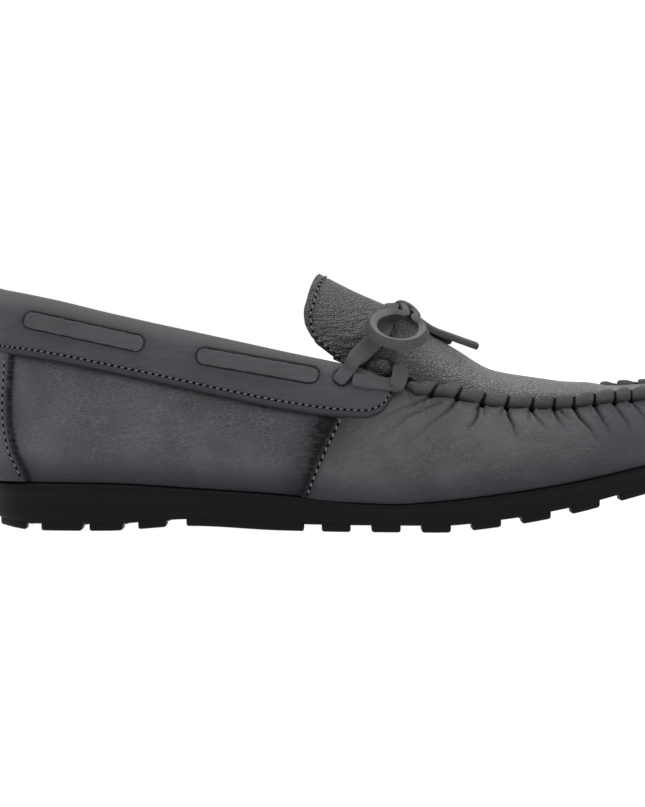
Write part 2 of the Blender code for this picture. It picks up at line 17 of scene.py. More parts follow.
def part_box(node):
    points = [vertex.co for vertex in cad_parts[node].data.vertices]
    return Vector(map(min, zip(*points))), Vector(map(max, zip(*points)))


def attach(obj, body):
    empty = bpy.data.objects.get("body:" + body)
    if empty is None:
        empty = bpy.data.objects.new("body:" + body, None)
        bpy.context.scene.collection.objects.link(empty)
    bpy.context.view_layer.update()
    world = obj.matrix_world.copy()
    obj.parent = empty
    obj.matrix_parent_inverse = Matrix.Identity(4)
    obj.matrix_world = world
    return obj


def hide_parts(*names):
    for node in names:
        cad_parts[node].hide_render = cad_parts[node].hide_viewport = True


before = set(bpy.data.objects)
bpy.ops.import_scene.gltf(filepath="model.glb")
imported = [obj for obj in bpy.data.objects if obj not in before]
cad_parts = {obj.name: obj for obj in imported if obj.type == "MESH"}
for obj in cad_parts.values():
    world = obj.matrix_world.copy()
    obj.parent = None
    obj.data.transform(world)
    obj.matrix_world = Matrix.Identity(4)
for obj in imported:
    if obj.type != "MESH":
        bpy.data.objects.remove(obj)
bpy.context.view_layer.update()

MM = 0.001
WELD = 0.00001

# Driving sizes, the same as the CAD model's
WALL = 2.2               # upper leather with its lining
THROAT_STATION = 163.0   # corner where collar and plug seam meet
SOLE_LIP = 1.5           # sole edge beyond the line where the upper meets it
SOLE_GAP = 0.3           # air between sole and upper
LUG_HEIGHT = 2.6
LUG_ROOT = 1.6           # how far a lug runs up into the sole
LUG_INSET = 0.3          # lug behind the sole's edge
LUG_REACH = 17.0         # width of an edge lug across the shoe
LUG_ROUND = 0.9          # rounding of a lug's edges
LUG_CUT = 4.0            # length of a lug's straight pieces where it follows the sole's curve
LUG_CHANNEL = 2.0        # space between edge lug and centre lug
EDGE_LUG_SHARE = 0.36    # most of the sole's width that an edge lug takes
CENTRE_LUG_HALF = 8.0
FORE_LUG_START = 135.4
FORE_LUG_PITCH = 19.3
FORE_LUG_LENGTH = 11.2
FORE_LUG_COUNT = 8
INSOLE_HEEL = 6.0        # footbed's thickness at the heel
INSOLE_TOE = 4.0         # and at the toe
INSOLE_CLEAR = 0.6       # air between footbed and lining
TONGUE_MID = -1.85       # place of the tongue's centre line across the shoe
KNOT_STATION = 168.6
KNOT_LIFT = 2.55         # knot's centre above the plug
KNOT_TILT = 37.0         # degrees that the knot leans forwards
REAR_SHARE = 0.275       # share of the way round from the heel to the throat corner

# The last: half widths of the feather line, where the upper meets the sole, that line's height, the underside
# of the lugs, the height of the collar or plug seam, how far that top edge leans in, the wall's swell and its
# rounding over.
Section = namedtuple(
    "Section",
    "station lateral medial feather ground top_lateral top_medial lean_lateral lean_medial bulge shoulder",
)
SECTIONS = [
    Section(4.0, 0.0, 0.0, 18.9, 4.0, 95.0, 95.0, 3.0, 3.0, 4.0, 0.0),
    Section(9.0, 15.0, 15.0, 18.9, 2.0, 94.0, 94.0, 3.0, 3.0, 4.0, 0.0),
    Section(24.0, 27.0, 26.5, 19.0, 0.0, 91.3, 91.3, 2.5, 2.5, 4.0, 0.0),
    Section(50.0, 31.5, 30.0, 18.8, 0.0, 85.3, 85.3, 2.5, 1.5, 4.0, 0.0),
    Section(85.0, 33.0, 27.5, 16.9, 2.0, 77.8, 77.3, 3.5, -0.5, 4.0, 0.0),
    Section(120.0, 36.0, 26.0, 14.6, 0.4, 70.0, 69.1, 6.0, -2.0, 4.0, 0.0),
    Section(150.0, 40.5, 29.0, 11.6, 0.0, 63.2, 62.3, 9.8, 2.0, 4.0, 0.3),
    Section(163.0, 42.3, 32.0, 11.2, 0.0, 57.5, 57.5, 12.2, 5.0, 4.2, 0.6),
    Section(180.0, 44.5, 37.0, 12.4, 0.0, 56.5, 56.5, 15.0, 10.0, 4.5, 1.0),
    Section(205.0, 45.5, 43.0, 15.4, 2.4, 52.3, 52.8, 16.5, 15.5, 4.5, 1.0),
    Section(230.0, 42.0, 44.5, 19.3, 6.6, 51.5, 52.6, 16.5, 17.0, 4.5, 1.0),
    Section(255.0, 34.0, 40.5, 24.4, 12.7, 53.8, 56.2, 16.0, 16.5, 4.5, 1.0),
    Section(275.0, 23.5, 34.0, 29.0, 18.0, 55.0, 57.2, 16.5, 16.5, 4.5, 1.0),
    Section(287.0, 11.0, 23.0, 32.0, 22.0, 55.5, 56.6, 17.5, 17.5, 4.5, 1.0),
    Section(291.5, -6.0, 6.0, 33.2, 23.5, 55.7, 55.7, 18.5, 18.5, 4.5, 1.0),
]
# Station, rise of the plug's centre above its seam, and how its cross section fills out
CROWNS = [
    (160.0, 30.2, 1.1),
    (164.0, 29.3, 1.1),
    (177.0, 20.7, 1.3),
    (190.0, 14.6, 1.6),
    (203.0, 9.8, 1.8),
    (226.0, 6.6, 2.0),
    (240.0, 4.1, 2.0),
    (256.0, -0.3, 2.0),
    (274.0, 0.0, 2.0),
]
# Tongue: station, half width, edge height and centre height
FLAPS = [
    (126.0, 24.0, 73.0, 104.6),
    (134.0, 25.0, 69.3, 100.9),
    (144.0, 25.6, 64.8, 95.8),
    (150.0, 25.8, 61.8, 92.9),
    (163.0, 25.6, 57.5, 87.2),
    (172.0, 25.4, 55.0, 80.8),
]
FLAP_FILL = 1.1
# Outline of the tongue's free end: share of the half width, and station
FLAP_END = [
    (0.0, 134.5),
    (0.45, 132.3),
    (0.78, 129.7),
    (0.9, 128.4),
    (0.945, 128.7),
    (0.982, 131.2),
    (1.0, 140.0),
]
# Station and height of the collar band's lower edge
BAND_EDGE = [
    (0.0, 69.8),
    (17.0, 68.3),
    (60.0, 60.1),
    (102.0, 51.0),
    (124.0, 46.7),
    (146.0, 43.9),
    (152.0, 43.7),
    (158.0, 45.7),
    (163.0, 52.0),
]
REAR_LUGS = [(9.0, 20.0), (26.0, 42.0), (45.0, 58.0), (64.0, 75.0), (82.8, 128.6)]
CENTRE_LUGS = [
    (30.0, 41.0),
    (46.5, 56.5),
    (137.0, 145.0),
    (156.0, 165.0),
    (175.0, 184.0),
    (194.0, 203.0),
    (213.0, 222.0),
]

# The collar band and the laces on it
BAND_BASE = 0.2          # underside of the band above the quarter
BAND_THICK = 1.7
BAND_PAD = 0.8           # swell of the padded part above the stitching
BAND_STITCH = 2.8        # stitch line above the band's lower edge
BAND_OUT = BAND_BASE + BAND_THICK + BAND_PAD
BAND_ROUND = 6.0         # height over which the band's face rounds in towards the collar
BAND_LEAN = 1.3          # and how far it comes in
BAND_FOLD = 9.0          # depth of the band's turn-in inside the collar
LACE_WIDTH = 6.4
LACE_THICK = 2.0
Bar = namedtuple("Bar", "name start_station start_height end_station end_height width")
LACE_BARS = [
    Bar("lace_bar_rear", 20.2, 82.2, 66.2, 71.9, LACE_WIDTH),
    Bar("lace_bar_front", 86.8, 67.9, 133.6, 59.3, LACE_WIDTH),
]
BAR_SINK = 0.7           # middle of a bar below the band's face
BAR_THICK = 1.7
BAR_PLAY = 0.1           # width that a bar leaves open in its slot
THONG = Bar("seam_thong", 146.2, 57.5, 164.6, 54.2, 5.4)
THONG_LIFT = 0.7         # middle of the thong above the band's face
THONG_DIVE = 2.6         # how far its front end runs down to the seam
THONG_TIPS = (1.2, 2.4)

# The bow: the strand from the last hole to the knot, the loop as a ring that stands on edge, and the tails
STRAND_ON_BAND = [(142.2, 58.4), (144.6, 61.4)]
STRAND = [
    (147.4, -37.4, 65.8),
    (149.8, -33.6, 68.2),
    (152.2, -29.6, 70.3),
    (155.4, -27.2, 73.4),
    (158.6, -24.2, 77.5),
    (161.2, -18.8, 82.6),
    (163.0, -12.2, 86.5),
    (163.8, -8.4, 87.9),
]
# Bow loop: a ring of lace beside the knot that stands on edge, and the ends that join it to the knot
LOOP_CENTRE = (164.9, -30.4, 78.6)
LOOP_AXIS = (0.10, -0.567, 0.818)
LOOP_RADIUS = 10.4
LOOP_FLARE = 0.5         # the loop's lower edge stands out this much for each unit of its width
LOOP_ANGLES = range(70, 407, 24)
LOOP_START = [(167.3, -7.0, 87.3), (167.8, -13.0, 86.6)]
LOOP_END = [(172.8, -14.0, 83.6), (171.6, -7.2, 85.0)]
# Tails of the bow: station, place across the shoe and lift above the plug
TAIL_LATERAL = [(172.6, -4.4, 2.7), (179.0, -3.6, 2.4), (186.5, -1.8, 3.8), (198.0, 0.8, 7.1)]
TAIL_MEDIAL = [(172.6, 0.6, 2.7), (179.0, 2.0, 1.9), (183.0, 3.1, 2.0), (187.2, 4.5, 2.2)]

# Widths and thicknesses of the lace where it is pulled, pressed flat, knotted, looped and left hanging
PULLED_WIDTH = 5.6
PRESSED_WIDTH = 7.4
STRAND_THICK = 2.0
KNOTTED_WIDTH = 3.6
LOOP_NECK_THICK = 2.4
LOOP_WIDTH = 4.2
LOOP_END_THICK = 2.8
LOOP_THICK = 3.5
TAIL_WIDTH = 5.4
TAIL_THICK = 2.5
LACE_STEP = 0.9          # distance between two cross sections of a lace
LACE_AROUND = 28         # faces round a lace
LACE_SQUARE = (0.28, 0.36)    # how square its section is in width and thickness; 1 would be an ellipse
LACE_TIP = 0.8           # rounding of a cut end
HOLE_TIP = 2.6           # and of an end that dives into a hole
# Station on the strand, and how much of its face looks sideways there
STRAND_FACING = [(150.0, 0.92), (158.0, 0.85), (163.0, 0.35)]
KNOT_HALF = (4.8, 1.9)   # half length and half height of the knot's wrap
KNOT_AHEAD = 0.8
KNOT_SIZE = (6.4, 2.5)   # width and thickness of the lace that wraps the knot

# Loop of lace that wraps the start of the gathered seam
WRAP_SIZE = (6.2, 2.2)
WRAP_TIPS = (2.4, 3.0)
WRAP = [
    (163.2, -37.9, 55.6),
    (164.8, -36.4, 57.6),
    (165.6, -34.6, 59.9),
    (165.9, -32.5, 62.4),
    (165.3, -30.2, 64.4),
]

# Stitches: half length, half width and half height of the thread and of the black beads that paint the shade
# in the needle holes
STITCH_SIZE = (0.85, 0.36, 0.30)
STITCH_SLANT = 0.34
STITCH_LIFT = 0.3
HOLE_SIZE = (0.58, 0.42, 0.26)
HOLE_LIFT = 0.26
STRAP_STITCH = 2.6       # stitch line inside the edges of back strap and tongue
EDGE_STITCH = 2.2        # and inside the vamp's rear edge
BAND_PITCH = 2.7         # length of one stitch on the band
UPPER_PITCH = 2.8        # on back strap and vamp
TONGUE_PITCH = 3.0

# Quarter seam: station of the vamp's rear edge at the sole and its gain for each millimetre of height
QUARTER_SEAM_FOOT = (127.8, 13.9)
QUARTER_SEAM_SLOPE = 0.43
VAMP_LAP = 1.1           # thickness of the vamp where it overlaps the quarter
SHARE_LENGTH = 660.0     # outline length that one whole share stands for

# The gathered seam: its foot lies below the plug's edge, and lobes of leather stand on it between the notches
RIDGE_SINK = 4.3         # how far that foot lies below the plug's edge
RIDGE_SPREAD = 1.6       # and how far outside it
LOBE_HALF_WIDTH = 2.6
LOBE_HALF_HEIGHT = 3.2
LOBE_START = 82.0        # degrees below level at which a lobe leaves the wall
LOBE_TUCK = 40.0         # degrees that it runs on under itself
LOBE_END = 193.0
NOTCH_SLANT = 11.0       # lean of the notches at the throat; it dies out towards the toe
SLANT_REACH = 42.0
NOTCH_GAP = 0.04         # half of the open part between two lobes, as a share of their pitch
NOTCH_STATIONS = [167.5, 178.6, 188.3, 197.9, 207.1, 216.8, 225.2, 232.9, 241.0, 249.1, 255.6]
NOTCH_PITCH = 7.8
PLUG_TUCK = 1.9          # how far the plug's edge dips under the lobes
LINING_DROP = 2.4        # how much deeper the lining lies under the creases of the vamp

CREASE_DEPTH = 2.0       # millimetres at the start of a crease whose depth is 1
CREASE_CORE = 0.75       # share of that depth in the narrow core, the rest lies in a wider trough
CREASE_FOLD = 0.4        # height of the folds beside a crease, as a share of its depth
CREASE_SHADE = 1.8       # how dark the painted shade in a crease is
TOE_CREASE = 0.5         # depth of the creases round the toe, which the photo doesn't show
FINE_CREASE = 0.22       # depth of the fine wrinkles, which raise no fold beside them
# Creases below the seam: stations and heights of the lines, with depth and half width
CREASES = [
    ([(177.1, 51.7), (171.3, 49.0), (165.6, 45.3)], 0.32, 0.7),
    ([(176.3, 50.9), (166.3, 47.8), (154.8, 41.4)], 0.28, 0.9),
    ([(181.0, 49.8), (168.6, 44.5), (157.1, 35.4)], 0.28, 1.0),
    ([(187.9, 51.0), (185.6, 47.9), (183.6, 45.3)], 0.60, 0.7),
    ([(186.7, 49.0), (177.1, 41.5), (167.1, 33.0)], 0.26, 1.1),
    ([(196.7, 49.5), (195.0, 43.4), (190.8, 38.6)], 0.70, 0.8),
    ([(197.9, 49.0), (198.7, 43.8)], 0.45, 0.8),
    ([(207.0, 48.2), (210.0, 38.6), (210.4, 35.5)], 0.75, 0.8),
    ([(207.9, 48.8), (211.4, 46.5)], 0.50, 0.7),
    ([(206.0, 48.0), (204.0, 43.0)], 0.40, 0.8),
    ([(216.7, 47.7), (219.4, 43.4), (222.1, 39.2)], 0.65, 0.8),
    ([(216.0, 48.0), (215.6, 41.5)], 0.45, 0.9),
    ([(225.1, 47.7), (227.5, 43.0), (229.8, 38.6)], 0.60, 0.8),
    ([(226.4, 47.6), (232.5, 42.7)], 0.60, 0.8),
    ([(232.9, 48.2), (240.1, 38.6), (242.0, 34.4)], 0.75, 0.9),
    ([(241.4, 49.4), (246.2, 40.4), (247.4, 35.6)], 0.65, 0.9),
    ([(249.1, 50.0), (254.5, 41.5), (255.6, 36.9)], 0.55, 0.9),
    ([(255.6, 50.7), (259.9, 46.0), (262.6, 41.0)], 0.48, 0.9),
]

# Photo frame: picture size, millimetres in a pixel on the near side, the heel end's pixel and the floor's
PHOTO_SIZE = (645, 807)
PIXEL = 0.385
HEEL_PIXEL = -30.0
FLOOR_PIXEL = 533.0
CAMERA_DISTANCE = 1300.0
CAMERA_TILT = 1.0
NEAR_SIDE = -45.0
SENSOR = 36.0

SURROUND_LIGHT = 0.62    # brightness of the studio near the horizon
CEILING_LIGHT = 2.1      # and of its ceiling
CEILING_EDGE = (0.45, 0.90)    # sines of the elevations between which one passes into the other
FLOOR_TONE = 0.15
WHITE = (1.0, 1.0, 1.0, 1.0)
FLOOR_GLOW = 1.0         # the floor is a light table, so nothing casts a hard shadow on it


def smoothstep(low, high, x):
    """Soft step from 0 to 1 between two values."""
    f = np.clip((x - low) / (high - low), 0.0, 1.0)
    return f * f * (3 - 2 * f)


def bell(distance, width):
    """Soft bump that is 1 at no distance."""
    return np.exp(-((distance / width) ** 2))


def unit(vectors):
    """The same vectors with length 1."""
    return vectors / np.linalg.norm(vectors, axis=-1, keepdims=True)


def run_along(points):
    """Distance of each point of a line from its start, measured along the line."""
    return np.concatenate([[0.0], np.cumsum(np.linalg.norm(np.diff(points, axis=0), axis=1))])


def rounded_rim(from_edge, reach):
    """Rise on a quarter circle, from 0 at an edge to 1 at reach."""
    return np.sqrt(1 - (1 - np.clip(from_edge / reach, 0.0, 1.0)) ** 2)


def stitch_groove(from_edge, line, depth=0.35):
    """Depth of the groove that a row of stitches pulls into leather, at a line inside its edge."""
    return depth * bell(from_edge - line, 0.6)


def strongest(*values):
    """Largest of several values at each point."""
    return np.maximum.reduce(values)


def monotone(places, values):
    """Smooth curve through the points that never overshoots them and is level at both ends."""
    x = np.array(places, float)
    y = np.array(values, float)
    step = np.diff(x)
    slope = np.diff(y) / step
    tangent = np.zeros(len(x))
    for i in range(1, len(x) - 1):
        if slope[i - 1] * slope[i] > 0:
            tangent[i] = 2 * slope[i - 1] * slope[i] / (slope[i - 1] + slope[i])

    def curve(at):
        at = np.clip(np.asarray(at, float), x[0], x[-1])
        i = np.clip(np.searchsorted(x, at, side="right") - 1, 0, len(step) - 1)
        f = (at - x[i]) / step[i]
        start = (1 + 2 * f) * (1 - f) ** 2 * y[i] + f * (1 - f) ** 2 * step[i] * tangent[i]
        end = f * f * (3 - 2 * f) * y[i + 1] + f * f * (f - 1) * step[i] * tangent[i + 1]
        return start + end

    return curve


def closed_spline(points):
    """Closed cubic spline through plan points, with its knots spaced by chord length."""
    p = np.array(points, float)
    count = len(p)
    step = np.linalg.norm(np.roll(p, -1, axis=0) - p, axis=1)
    knots = np.concatenate([[0.0], np.cumsum(step)])
    matrix = np.zeros((count, count))
    pull = np.zeros((count, 2))
    for i in range(count):
        after = (i + 1) % count
        matrix[i, i - 1] += step[i - 1]
        matrix[i, i] += 2 * (step[i - 1] + step[i])
        matrix[i, after] += step[i]
        pull[i] = 6 * ((p[after] - p[i]) / step[i] - (p[i] - p[i - 1]) / step[i - 1])
    bend = np.linalg.solve(matrix, pull)

    def curve(t):
        t = np.asarray(t, float) % knots[-1]
        i = np.clip(np.searchsorted(knots, t, side="right") - 1, 0, count - 1)
        after = (i + 1) % count
        span = step[i][..., None]
        b = ((t - knots[i]) / step[i])[..., None]
        a = 1 - b
        swing = (a ** 3 - a) * bend[i] + (b ** 3 - b) * bend[after]
        return a * p[i] + b * p[after] + swing * span ** 2 / 6

    return curve, knots


def table_curve(table, column):
    """One column of a table as a smooth curve over its first column."""
    return monotone([row[0] for row in table], [row[column] for row in table])


STATIONS = [row.station for row in SECTIONS]
LATERAL_NODES = [(row.station, -row.lateral) for row in SECTIONS]
MEDIAL_NODES = [(row.station, row.medial) for row in reversed(SECTIONS[1:-1])]
outline, KNOTS = closed_spline(LATERAL_NODES + MEDIAL_NODES)
LATERAL_KNOTS = KNOTS[: len(SECTIONS)]
MEDIAL_KNOTS = KNOTS[len(SECTIONS) - 1 :]
THROAT_ROW = STATIONS.index(THROAT_STATION)
TOE_KNOT = LATERAL_KNOTS[-1]
RING_SHARES = [0.0, REAR_SHARE, 0.5, 1 - REAR_SHARE, 1.0]
RING_KNOTS = [
    0.0,
    LATERAL_KNOTS[THROAT_ROW],
    TOE_KNOT,
    MEDIAL_KNOTS[len(SECTIONS) - 1 - THROAT_ROW],
    KNOTS[-1],
]

feather = monotone(STATIONS, [row.feather for row in SECTIONS])
ground = monotone(STATIONS, [row.ground for row in SECTIONS])
crown_rise = table_curve(CROWNS, 1)
crown_fill = table_curve(CROWNS, 2)
flap_half = table_curve(FLAPS, 1)
flap_edge = table_curve(FLAPS, 2)
flap_peak = table_curve(FLAPS, 3)
flap_end = table_curve(FLAP_END, 1)
band_edge = table_curve(BAND_EDGE, 1)


def round_the_shoe(lateral_name, medial_name):
    """One value round the whole outline, from a column for each side."""
    lateral = monotone(LATERAL_KNOTS, [getattr(row, lateral_name) for row in SECTIONS])
    medial = monotone(MEDIAL_KNOTS, [getattr(row, medial_name) for row in reversed(SECTIONS)])
    return lambda t: np.where(t <= TOE_KNOT, lateral(t), medial(t))


top_height = round_the_shoe("top_lateral", "top_medial")
lean = round_the_shoe("lean_lateral", "lean_medial")
bulge = round_the_shoe("bulge", "bulge")
shoulder = round_the_shoe("shoulder", "shoulder")


def outline_point(share, grow=0.0):
    """Plan point of the feather line, moved outwards by grow; share runs round from the heel."""
    t = np.interp(np.asarray(share, float) % 1.0, RING_SHARES, RING_KNOTS)
    ahead = unit(outline(t + 0.5) - outline(t - 0.5))
    outward = np.stack([ahead[..., 1], -ahead[..., 0]], axis=-1)
    return t, outline(t) + outward * np.asarray(grow, float)[..., None], outward


def wall_profile(t, station, h, sink, spread):
    """Offset beyond the feather line and rise above it, on a cubic from there (0) to the top edge (1)."""
    height = top_height(t) - sink - feather(station)
    swell = bulge(t)
    inward = lean(t) - spread
    low, high = 3 * (1 - h) ** 2 * h, 3 * (1 - h) * h * h
    offset = low * 2.4 * swell + high * (0.8 * swell - 0.35 * inward) - h ** 3 * inward
    rise = height * (low * 0.30 + high * (0.66 + 0.2 * shoulder(t)) + h ** 3)
    return offset, rise


def wall_surface(share, h, sink=0.0, spread=0.0):
    """Outer face of the upper's wall; sink lowers its top edge and spread moves that edge outwards."""
    share, h = np.broadcast_arrays(np.asarray(share, float), np.asarray(h, float))
    t, plan, outward = outline_point(share)
    offset, rise = wall_profile(t, plan[..., 0], h, sink, spread)
    plan_point = plan + outward * offset[..., None]
    return np.concatenate([plan_point, (feather(plan[..., 0]) + rise)[..., None]], axis=-1)


def wall_normal(share, h):
    """Outward direction of the upper's wall."""
    along = wall_surface(share + 0.0005, h) - wall_surface(share - 0.0005, h)
    up = wall_surface(share, np.minimum(h + 0.005, 1.0)) - wall_surface(share, np.maximum(h - 0.005, 0.0))
    return unit(np.cross(along, up))


def wall(share, h, out):
    """Point of the upper's wall, moved out along the wall's own normal."""
    share, h = np.broadcast_arrays(np.asarray(share, float), np.asarray(h, float))
    return wall_surface(share, h) + wall_normal(share, h) * np.asarray(out, float)[..., None]


def wall_share_up(share, height):
    """How far up the wall, from 0 to 1, a given height above the floor lies."""
    share, height = np.broadcast_arrays(np.asarray(share, float), np.asarray(height, float))
    t, plan, _ = outline_point(share)
    low = np.zeros(share.shape)
    high = np.ones(share.shape)
    for _ in range(22):
        middle = (low + high) / 2
        rise = feather(plan[..., 0]) + wall_profile(t, plan[..., 0], middle, 0.0, 0.0)[1]
        low = np.where(rise < height, middle, low)
        high = np.where(rise < height, high, middle)
    return (low + high) / 2


SIDE_SHARES = np.linspace(0.0, 0.5, 601)
SIDE_STATIONS = {
    -1: outline_point(SIDE_SHARES)[1][:, 0],
    1: outline_point(1.0 - SIDE_SHARES)[1][:, 0],
}


def side_share(station, side):
    """Place round the shoe of a station on the lateral (-1) or medial (1) side."""
    share = np.interp(station, SIDE_STATIONS[side], SIDE_SHARES)
    return share if side < 0 else 1.0 - share


def on_wall(station, height, side, out):
    """Point above the wall at a station and height on one side."""
    share = side_share(station, side)
    return wall(share, wall_share_up(share, height), out)


def plug(a, v):
    """Outer face of the plug: a runs from throat to toe and v from the lateral to the medial seam."""
    share = REAR_SHARE + (0.5 - REAR_SHARE) * a
    lateral = wall_surface(share, 1.0)
    medial = wall_surface(1.0 - share, 1.0)
    middle = (lateral + medial) / 2
    angle = (v - 0.5) * math.pi
    rise = crown_rise(middle[..., 0]) * np.maximum(np.cos(angle), 0.0) ** crown_fill(middle[..., 0])
    point = middle + (medial - lateral) / 2 * np.sin(angle)[..., None]
    point[..., 2] += rise
    return point


def tongue(a, v):
    """Outer face of the tongue: a runs from its free end to the throat."""
    across = np.sin((v - 0.5) * math.pi)
    start = flap_end(np.abs(across))
    x = start + (plug(np.zeros(a.shape), v)[..., 0] - start) * a
    rise = (flap_peak(x) - flap_edge(x)) * np.maximum(np.cos((v - 0.5) * math.pi), 0.0) ** FLAP_FILL
    return np.stack([x, TONGUE_MID + flap_half(x) * across, flap_edge(x) + rise], axis=-1)


CREST_STEPS = np.linspace(0.0, 1.0, 81)
CREST_EDGES = (
    plug(CREST_STEPS, np.zeros(81)),
    plug(CREST_STEPS, np.full(81, 0.5)),
    plug(CREST_STEPS, np.ones(81)),
)


def crest(station, y):
    """Height of tongue or plug under a plan point."""
    if station < THROAT_STATION:
        across = (y - TONGUE_MID) / flap_half(station)
        edge, rise, fill = flap_edge(station), flap_peak(station) - flap_edge(station), FLAP_FILL
    else:
        lateral, middle, medial = CREST_EDGES
        columns = (lateral[:, 1], medial[:, 1], lateral[:, 2])
        near = [np.interp(station, middle[:, 0], column) for column in columns]
        across = (2 * y - near[0] - near[1]) / (near[1] - near[0])
        edge, rise, fill = near[2], crown_rise(station), crown_fill(station)
    return float(edge + rise * math.sqrt(max(1 - across * across, 0.0)) ** fill)


# Where the shoe's own places lie in the row frame: the CAD knot's centre is known in both
knot_low, knot_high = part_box("bow_knot")
knot_middle = (knot_low + knot_high) / 2 / MM
SHIFT = np.array([knot_middle.x - KNOT_STATION, knot_middle.y - TONGUE_MID, 0.0])


def in_frame(points):
    """Points of the shoe in metres of the row frame."""
    return (np.asarray(points, float) + SHIFT) * MM


# Mesh making


def sheet(columns, rows, place):
    """Grid that place(u, v) shapes: it gives points, values for the material, and relief along the normal."""
    bm = bmesh.new()
    bmesh.ops.create_grid(bm, x_segments=columns, y_segments=rows, size=0.5)
    flat = np.array([vert.co[:2] for vert in bm.verts]) + 0.5
    points, values, relief = place(flat[:, 0], flat[:, 1])
    points = in_frame(points)
    layers = [(bm.verts.layers.float.new(name), numbers) for name, numbers in values.items()]
    for i, vert in enumerate(bm.verts):
        vert.co = points[i]
        for layer, numbers in layers:
            vert[layer] = numbers[i]
    if relief is not None:
        height = bm.verts.layers.float.new("relief")
        for i, vert in enumerate(bm.verts):
            vert[height] = relief[i] * MM
    bmesh.ops.remove_doubles(bm, verts=bm.verts, dist=WELD)
    bmesh.ops.dissolve_degenerate(bm, edges=bm.edges, dist=WELD / 10)
    bm.normal_update()
    if relief is not None:
        moves = [vert.normal * vert[height] for vert in bm.verts]
        for vert, move in zip(bm.verts, moves):
            vert.co += move
        bm.verts.layers.float.remove(height)
        bm.normal_update()
    return bm


def add_piece(name, bm, material, replaced=(), sharp=None):
    """Named piece of the shoe from a bmesh."""
    mesh = bpy.data.meshes.new(name)
    bm.to_mesh(mesh)
    bm.free()
    mesh.shade_smooth()
    if sharp:
        mesh.set_sharp_from_angle(angle=math.radians(sharp))
    mesh.materials.append(material)
    piece = bpy.data.objects.new(name, mesh)
    bpy.context.scene.collection.objects.link(piece)
    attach(piece, "root")
    if replaced:
        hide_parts(*replaced)
    return piece


def wall_of(piece, thickness):
    """Give a sheet its leather thickness on the inner side."""
    skin = piece.modifiers.new("leather_wall", "SOLIDIFY")
    skin.thickness = thickness * MM
    skin.offset = -1.0
    skin.use_even_offset = False


def smooth_route(points, spacing):
    """Points every so often on a smooth open curve through the route's own points."""
    p = [np.array(point, float) for point in points]
    p = [2 * p[0] - p[1]] + p + [2 * p[-1] - p[-2]]
    dense = []
    for i in range(1, len(p) - 2):
        for f in np.linspace(0.0, 1.0, 12, endpoint=False):
            pull = 2 * p[i - 1] - 5 * p[i] + 4 * p[i + 1] - p[i + 2]
            twist = 3 * p[i] - p[i - 1] - 3 * p[i + 1] + p[i + 2]
            dense.append(p[i] + 0.5 * (f * (p[i + 1] - p[i - 1]) + f * f * pull + f ** 3 * twist))
    dense = np.array(dense + [p[-2]])
    run = run_along(dense)
    stops = np.linspace(0.0, run[-1], max(int(round(run[-1] / spacing)), 3) + 1)
    return np.stack([np.interp(stops, run, dense[:, k]) for k in range(dense.shape[1])], axis=1)


def flat_lace(path, across, width, thick, tips=(LACE_TIP, LACE_TIP), edge_light=0.2):
    """Ribbon of lace along a path; across gives the direction of its width, tips the rounding of its ends."""
    count = len(path)
    width = np.broadcast_to(width, count)
    thick = np.broadcast_to(thick, count)
    paleness = np.broadcast_to(edge_light, count)
    ahead = unit(np.gradient(path, axis=0))
    across = unit(across - ahead * np.sum(across * ahead, axis=1, keepdims=True))
    face = np.cross(across, ahead)
    run = run_along(path)
    slim, thin = np.ones(count), np.ones(count)
    for from_end, tip in ((run, tips[0]), (run[-1] - run, tips[1])):
        slim = slim * rounded_rim(from_end, tip)
        thin = thin * rounded_rim(from_end, LACE_TIP)
    width, thick = width * slim, thick * thin

    def place(u, v):
        at = u * (count - 1)
        angle = v * 2 * math.pi
        cos, sin = np.cos(angle), np.sin(angle)
        places = range(count)
        side = np.sign(cos) * np.abs(cos) ** LACE_SQUARE[0] * np.interp(at, places, width) / 2
        lift = np.sign(sin) * np.abs(sin) ** LACE_SQUARE[1] * np.interp(at, places, thick) / 2
        columns = [
            np.stack([np.interp(at, places, rows[:, k]) for k in range(3)], axis=1)
            for rows in (path, across, face)
        ]
        point = columns[0] + columns[1] * side[:, None] + columns[2] * lift[:, None]
        # paler cut edges of the lace, partly painted highlight where an edge faces the light
        edge = np.interp(at, places, paleness) * (1 - smoothstep(0.4, 0.8, np.abs(sin)))
        return point, {"edge": edge}, None

    bm = sheet(count - 1, LACE_AROUND, place)
    bmesh.ops.recalc_face_normals(bm, faces=bm.faces[:])
    return bm


# Node helpers


def fill_inputs(made, inputs):
    """Link or set a node's inputs."""
    for key, value in dict(inputs).items():
        if isinstance(value, bpy.types.NodeSocket):
            made.id_data.links.new(value, made.inputs[key])
        else:
            made.inputs[key].default_value = value


def node_adder(tree):
    """Function that adds a node to a tree."""

    def node(kind, inputs=(), **settings):
        made = tree.nodes.new(kind)
        for key, value in settings.items():
            setattr(made, key, value)
        fill_inputs(made, inputs)
        return made

    return node


def new_material(name):
    """Material and a function that adds a node to it."""
    material = bpy.data.materials.new(name)
    material.use_nodes = True
    return material, node_adder(material.node_tree)


def shaped_surface(material, node, tone, rough, height, strength, depth, gloss):
    """Give a material's shader its colour, roughness, fine relief and gloss."""
    shader = material.node_tree.nodes["Principled BSDF"]
    bump = node("ShaderNodeBump", {"Height": height, "Strength": strength, "Distance": depth}).outputs[0]
    fill_inputs(shader, {"Base Color": tone, "Roughness": rough, "Normal": bump, "Specular IOR Level": gloss})
    return material


def mix_colour(node, factor, first, second):
    """Mix of two colours, each given as three numbers or as a socket."""
    inputs = {0: factor}
    for key, value in ((6, first), (7, second)):
        inputs[key] = value if isinstance(value, bpy.types.NodeSocket) else (*value, 1.0)
    return node("ShaderNodeMix", inputs, data_type="RGBA").outputs[2]


def between_shades(node, factor, colour, dark, light):
    """Colour that varies between a darker and a lighter shade of itself."""
    return mix_colour(node, factor, [c * dark for c in colour], [c * light for c in colour])


